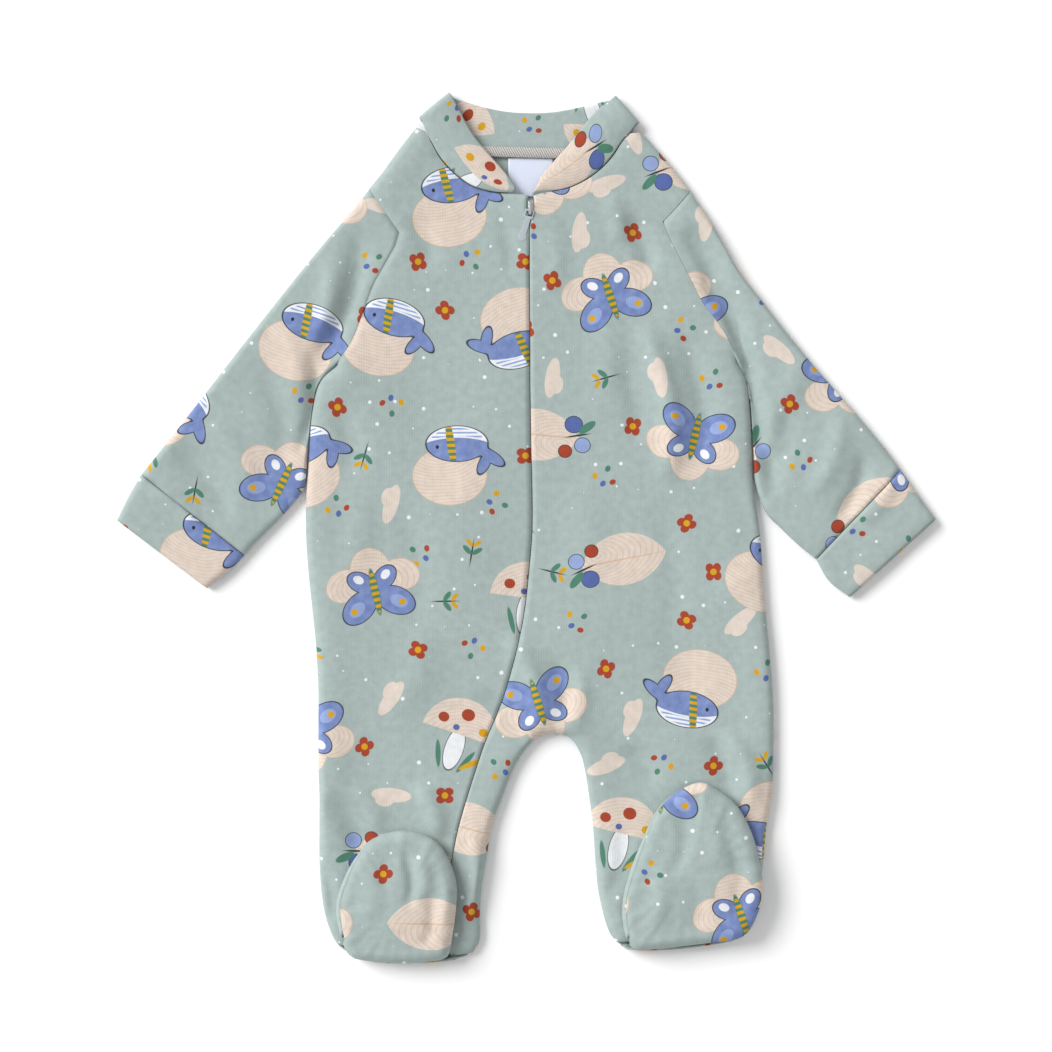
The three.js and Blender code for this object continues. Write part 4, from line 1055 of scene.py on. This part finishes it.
def small_motif(n, color, p, pick, free):
    """Pebbles, flowers, sprigs or drops, as the cell's random number picks."""
    def chosen(low, high):
        after = n.num("GREATER_THAN", pick, low)
        return n.num("MULTIPLY", n.num("MULTIPLY", after, n.num("LESS_THAN", pick, high)), free)

    half = n.mirrored(p)
    x, y, _ = n.split(p)
    quarter = n.join(n.num("ABSOLUTE", x), n.num("ABSOLUTE", y))
    pebble, flower, sprig, drops = chosen(-1, 0.2), chosen(0.2, 0.42), chosen(0.42, 0.62), chosen(0.62, 1.01)
    color = n.dabs(color, p, pebble, ((0, 0, 13, 4.6, 0, BEIGE), (4, 3.4, 6, 4.2, 0, BEIGE)))
    color = n.dabs(color, quarter, flower, ((2.6, 2.4, 3.0, 2.6, 0, RUST), (0, 0, 2.1, 2.1, 0, MUSTARD)))
    color = n.dabs(color, half, sprig, ((0, 0, 0.5, 8, 0, INK), (3.2, 1.5, 3.8, 1.6, 38, GREEN),
                                        (2.6, 6.4, 3.0, 1.3, 44, MUSTARD)))
    return n.dabs(color, p, drops, ((-6, 2, 1.7, 2.1, -36, RUST), (1, -4, 1.7, 2.1, 6, GREEN),
                                    (6, 4, 1.7, 2.1, 36, MUSTARD), (-1, 6, 1.7, 2.1, -6, BLUE)))


def large_places(n, place):
    """Each point's place beside the large motif of its cell, and the cell's random numbers."""
    local, numbers = n.cell(place, LARGE_CELL, 1.0)
    return n.vec("SUBTRACT", local, n.scattered(numbers[0], numbers[1], 10.0, 8.0)), numbers


def white_dots(n, color, place, where):
    local, (first, second, third) = n.cell(place, DOT_CELL, 5.0)
    away = n.vec("LENGTH", n.vec("SUBTRACT", local, n.scattered(first, second, 8.0, 6.0)))
    size = n.num("MULTIPLY_ADD", third, 2.2, -1.0)
    return n.paint(color, n.num("SUBTRACT", away, size), WHITE, where)


def small_motifs(n, color, place):
    """One in most small cells, where the cell's middle is clear of every large motif."""
    local, (turn, pick, shown) = n.cell(place, SMALL_CELL, 3.0)
    from_large, _ = large_places(n, n.vec("SUBTRACT", place, local))
    clear = n.num("GREATER_THAN", n.vec("LENGTH", from_large), MOTIF_REACH + 3)
    larger = n.vec("MULTIPLY", local, (SMALL_SHRINK, SMALL_SHRINK, 1.0))
    local = n.turn(larger, n.num("MULTIPLY", turn, math.tau))
    return small_motif(n, color, local, pick, n.num("MULTIPLY", clear, n.num("LESS_THAN", shown, 0.85)))


def large_motifs(n, color, away, numbers):
    """One in each large cell, upright or upside down and turned a little."""
    tilt, flip, kind = numbers
    flipped = n.num("MULTIPLY", n.num("GREATER_THAN", flip, 0.5), math.pi)
    p = n.turn(away, n.num("MULTIPLY_ADD", tilt, 0.8, n.num("SUBTRACT", flipped, 0.4)))
    p = n.vec("MULTIPLY", p, (LARGE_SHRINK, LARGE_SHRINK, 1.0))
    inks = (n.mix(n.noise(p, 0.16, 2.0), BLUE, PALE_BLUE), wood_lines(n, p))
    for number, motif in enumerate((leaf, whale, toadstool, butterfly)):
        on = n.num("COMPARE", n.num("MULTIPLY", kind, 4.0), number + 0.5, 0.5)
        color = motif(n, color, p, on, inks)
    return color


def sage_print(n, place):
    """The whole print: its colour at a place in the cloth's own plane."""
    color = n.mix(n.num("MULTIPLY", n.noise(place, 0.9, 3.0), 0.5), SAGE, DEEP_SAGE)
    away, numbers = large_places(n, place)
    color = white_dots(n, color, place, n.num("GREATER_THAN", n.vec("LENGTH", away), MOTIF_REACH - 4))
    color = small_motifs(n, color, place)
    color = large_motifs(n, color, away, numbers)
    wash = n.num("MULTIPLY_ADD", n.noise(place, 0.22, 4.0), 0.34, 0.83)
    return n.vec("MULTIPLY", color, n.join(wash, wash, wash))


def cloth_place(n):
    """The cloth's own coordinate, in millimetres."""
    coordinate = n.add("ShaderNodeAttribute", attribute_name="cloth").outputs["Vector"]
    return n.vec("MULTIPLY", coordinate, (1000.0, 1000.0, 1000.0))


def printed_cloth():
    """Printed interlock: the fine ribs of the knit and its soft sheen."""
    material, shader = principled("sage_printed_interlock", {
        "Roughness": 0.92, "Specular IOR Level": 0.18, "Sheen Weight": 0.12, "Sheen Roughness": 0.5})
    n = Nodes(material)
    place = cloth_place(n)
    n.feed(shader.inputs["Base Color"], sage_print(n, place))
    x, y, _ = n.split(place)
    wales = n.num("SINE", n.num("MULTIPLY", x, math.tau / 0.95))
    courses = n.num("SINE", n.num("MULTIPLY", y, math.tau / 1.25))
    ribs = n.num("MULTIPLY_ADD", courses, 0.4, wales)
    n.bump(shader, n.num("MULTIPLY_ADD", n.noise(place, 0.35, 2.0), 3.0, ribs), 0.35, 0.05)
    return material


def overlock_thread():
    """Beige and white loops close together."""
    material, shader = principled("overlock_thread", {"Roughness": 0.9})
    n = Nodes(material)
    place = cloth_place(n)
    x, y, _ = n.split(place)
    slant = n.num("MULTIPLY_ADD", y, 0.5, x)
    loops = n.num("SINE", n.num("MULTIPLY", slant, math.tau / 1.4))
    speckle = n.noise(place, 1.1, 3.0)
    share = n.num("MULTIPLY_ADD", loops, 0.25, speckle, clamp=True)
    n.feed(shader.inputs["Base Color"], n.mix(share, srgb(150, 148, 144), srgb(226, 222, 217)))
    n.bump(shader, n.num("ADD", loops, speckle), 0.8, 0.3)
    return material


def plain(name, color, roughness, metallic=0.0):
    levels = {"Base Color": color, "Roughness": roughness, "Metallic": metallic}
    return principled(name, levels)[0]


# The hardware's edges: how far they are rounded, and from what angle one counts as sharp
EDGE_ROUND = 0.22
SHARP_EDGE = math.radians(40)


def rounded_copy(node, body, material):
    """The node's own form with its edges rounded a little."""
    source = bpy.data.objects[node]
    mesh = source.data.copy()
    mesh.materials.clear()
    mesh.materials.append(material)
    form = bmesh.new()
    form.from_mesh(mesh)
    bmesh.ops.remove_doubles(form, verts=form.verts, dist=0.02 * MM)
    bmesh.ops.dissolve_limit(form, angle_limit=math.radians(2), verts=form.verts, edges=form.edges)
    sharp = [edge for edge in form.edges if edge.calc_face_angle(0) > SHARP_EDGE]
    bmesh.ops.bevel(form, geom=sharp, offset=EDGE_ROUND * MM, segments=3, profile=0.5,
                    affect="EDGES", clamp_overlap=True)
    form.to_mesh(mesh)
    form.free()
    mesh.shade_smooth()
    piece = link(node + "_rounded", mesh)
    piece.matrix_world = source.matrix_world.copy()
    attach(piece, body)
    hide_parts(node)


def garment():
    """Each cloth piece in its material, in place of its plain solid."""
    cloth = printed_cloth()
    looks = {
        "neck_seam": overlock_thread(),
        "label": plain("label_satin", srgb(214, 221, 238), 0.45),
        "zip_tape": plain("zip_tape_weave", srgb(150, 168, 160), 0.85),
    }
    pieces = {
        "back": back(), "front_right": front_right(), "front_left": front_left(),
        **sleeves_and_cuffs(), "collar": collar(), **feet(),
        "neck_seam": neck_seam(), "label": label(), "zip_tape": zip_tape(),
    }
    for node, piece in pieces.items():
        piece.data.materials.append(looks.get(node, cloth))
        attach(piece, "garment")
        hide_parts(node)


def zip_hardware():
    """The nylon coil, the slider of pale cast metal and the pull of satin grey metal."""
    coil = zip_coil()
    coil.data.materials.append(plain("zip_coil_nylon", srgb(196, 206, 202), 0.4))
    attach(coil, "garment")
    rounded_copy("zip_slider", "garment", plain("slider_metal", srgb(205, 208, 210), 0.28, 0.9))
    rounded_copy("zip_pull", "zip_pull", plain("pull_metal", srgb(186, 196, 202), 0.34, 0.35))


# The light: the sky's strength, and the sun's strength, width and direction
SKY_STRENGTH = 0.58
SUN_STRENGTH = 3.1
SUN_WIDTH = math.radians(34)
TOWARDS_SUN = Vector((-1.4, 0.8, 1.15))
FLOOR_SIDE = 40                          # metres
FLOOR_DROP = 0.3                         # the floor's depth under the cloth


def studio():
    """A white floor, an even white sky and one soft sun from the upper left."""
    bpy.ops.mesh.primitive_plane_add(size=FLOOR_SIDE)
    floor = bpy.context.object
    floor.name = "floor"
    floor.location.z = -FLOOR_DROP * MM
    floor.data.materials.append(plain("floor_white", (0.96, 0.96, 0.96, 1), 0.95))
    world = bpy.context.scene.world or bpy.data.worlds.new("studio")
    bpy.context.scene.world = world
    world.use_nodes = True
    sky = world.node_tree.nodes["Background"]
    sky.inputs["Color"].default_value = (1, 1, 1, 1)
    sky.inputs["Strength"].default_value = SKY_STRENGTH
    sun = bpy.data.lights.new("key_light", "SUN")
    sun.energy = SUN_STRENGTH
    sun.angle = SUN_WIDTH
    link("key_light", sun).rotation_euler = (-TOWARDS_SUN).to_track_quat("-Z", "Y").to_euler()


# The picture's frame: side in pixels, millimetres a pixel, where the pattern's origin shows,
# and the lens and sensor of the camera above it
PICTURE_SIDE = 1052
PIXEL = 0.58
PATTERN_PIXEL = np.array([525.5, 528.5])
LENS = 85
SENSOR = 36


def camera():
    """A long lens straight above, framed as the picture is."""
    bpy.context.scene.view_settings.view_transform = "Standard"
    data = bpy.data.cameras.new("camera")
    data.lens = LENS
    data.sensor_width = SENSOR
    height = PICTURE_SIDE * PIXEL * MM * LENS / SENSOR
    middle = (PICTURE_SIDE / 2 - PATTERN_PIXEL) * (1, -1) * PIXEL * MM - ORIGIN[:2] * MM
    eye = link("camera", data)
    eye.location = (*middle, height)
    bpy.context.scene.camera = eye


camera()
studio()
garment()
zip_hardware()
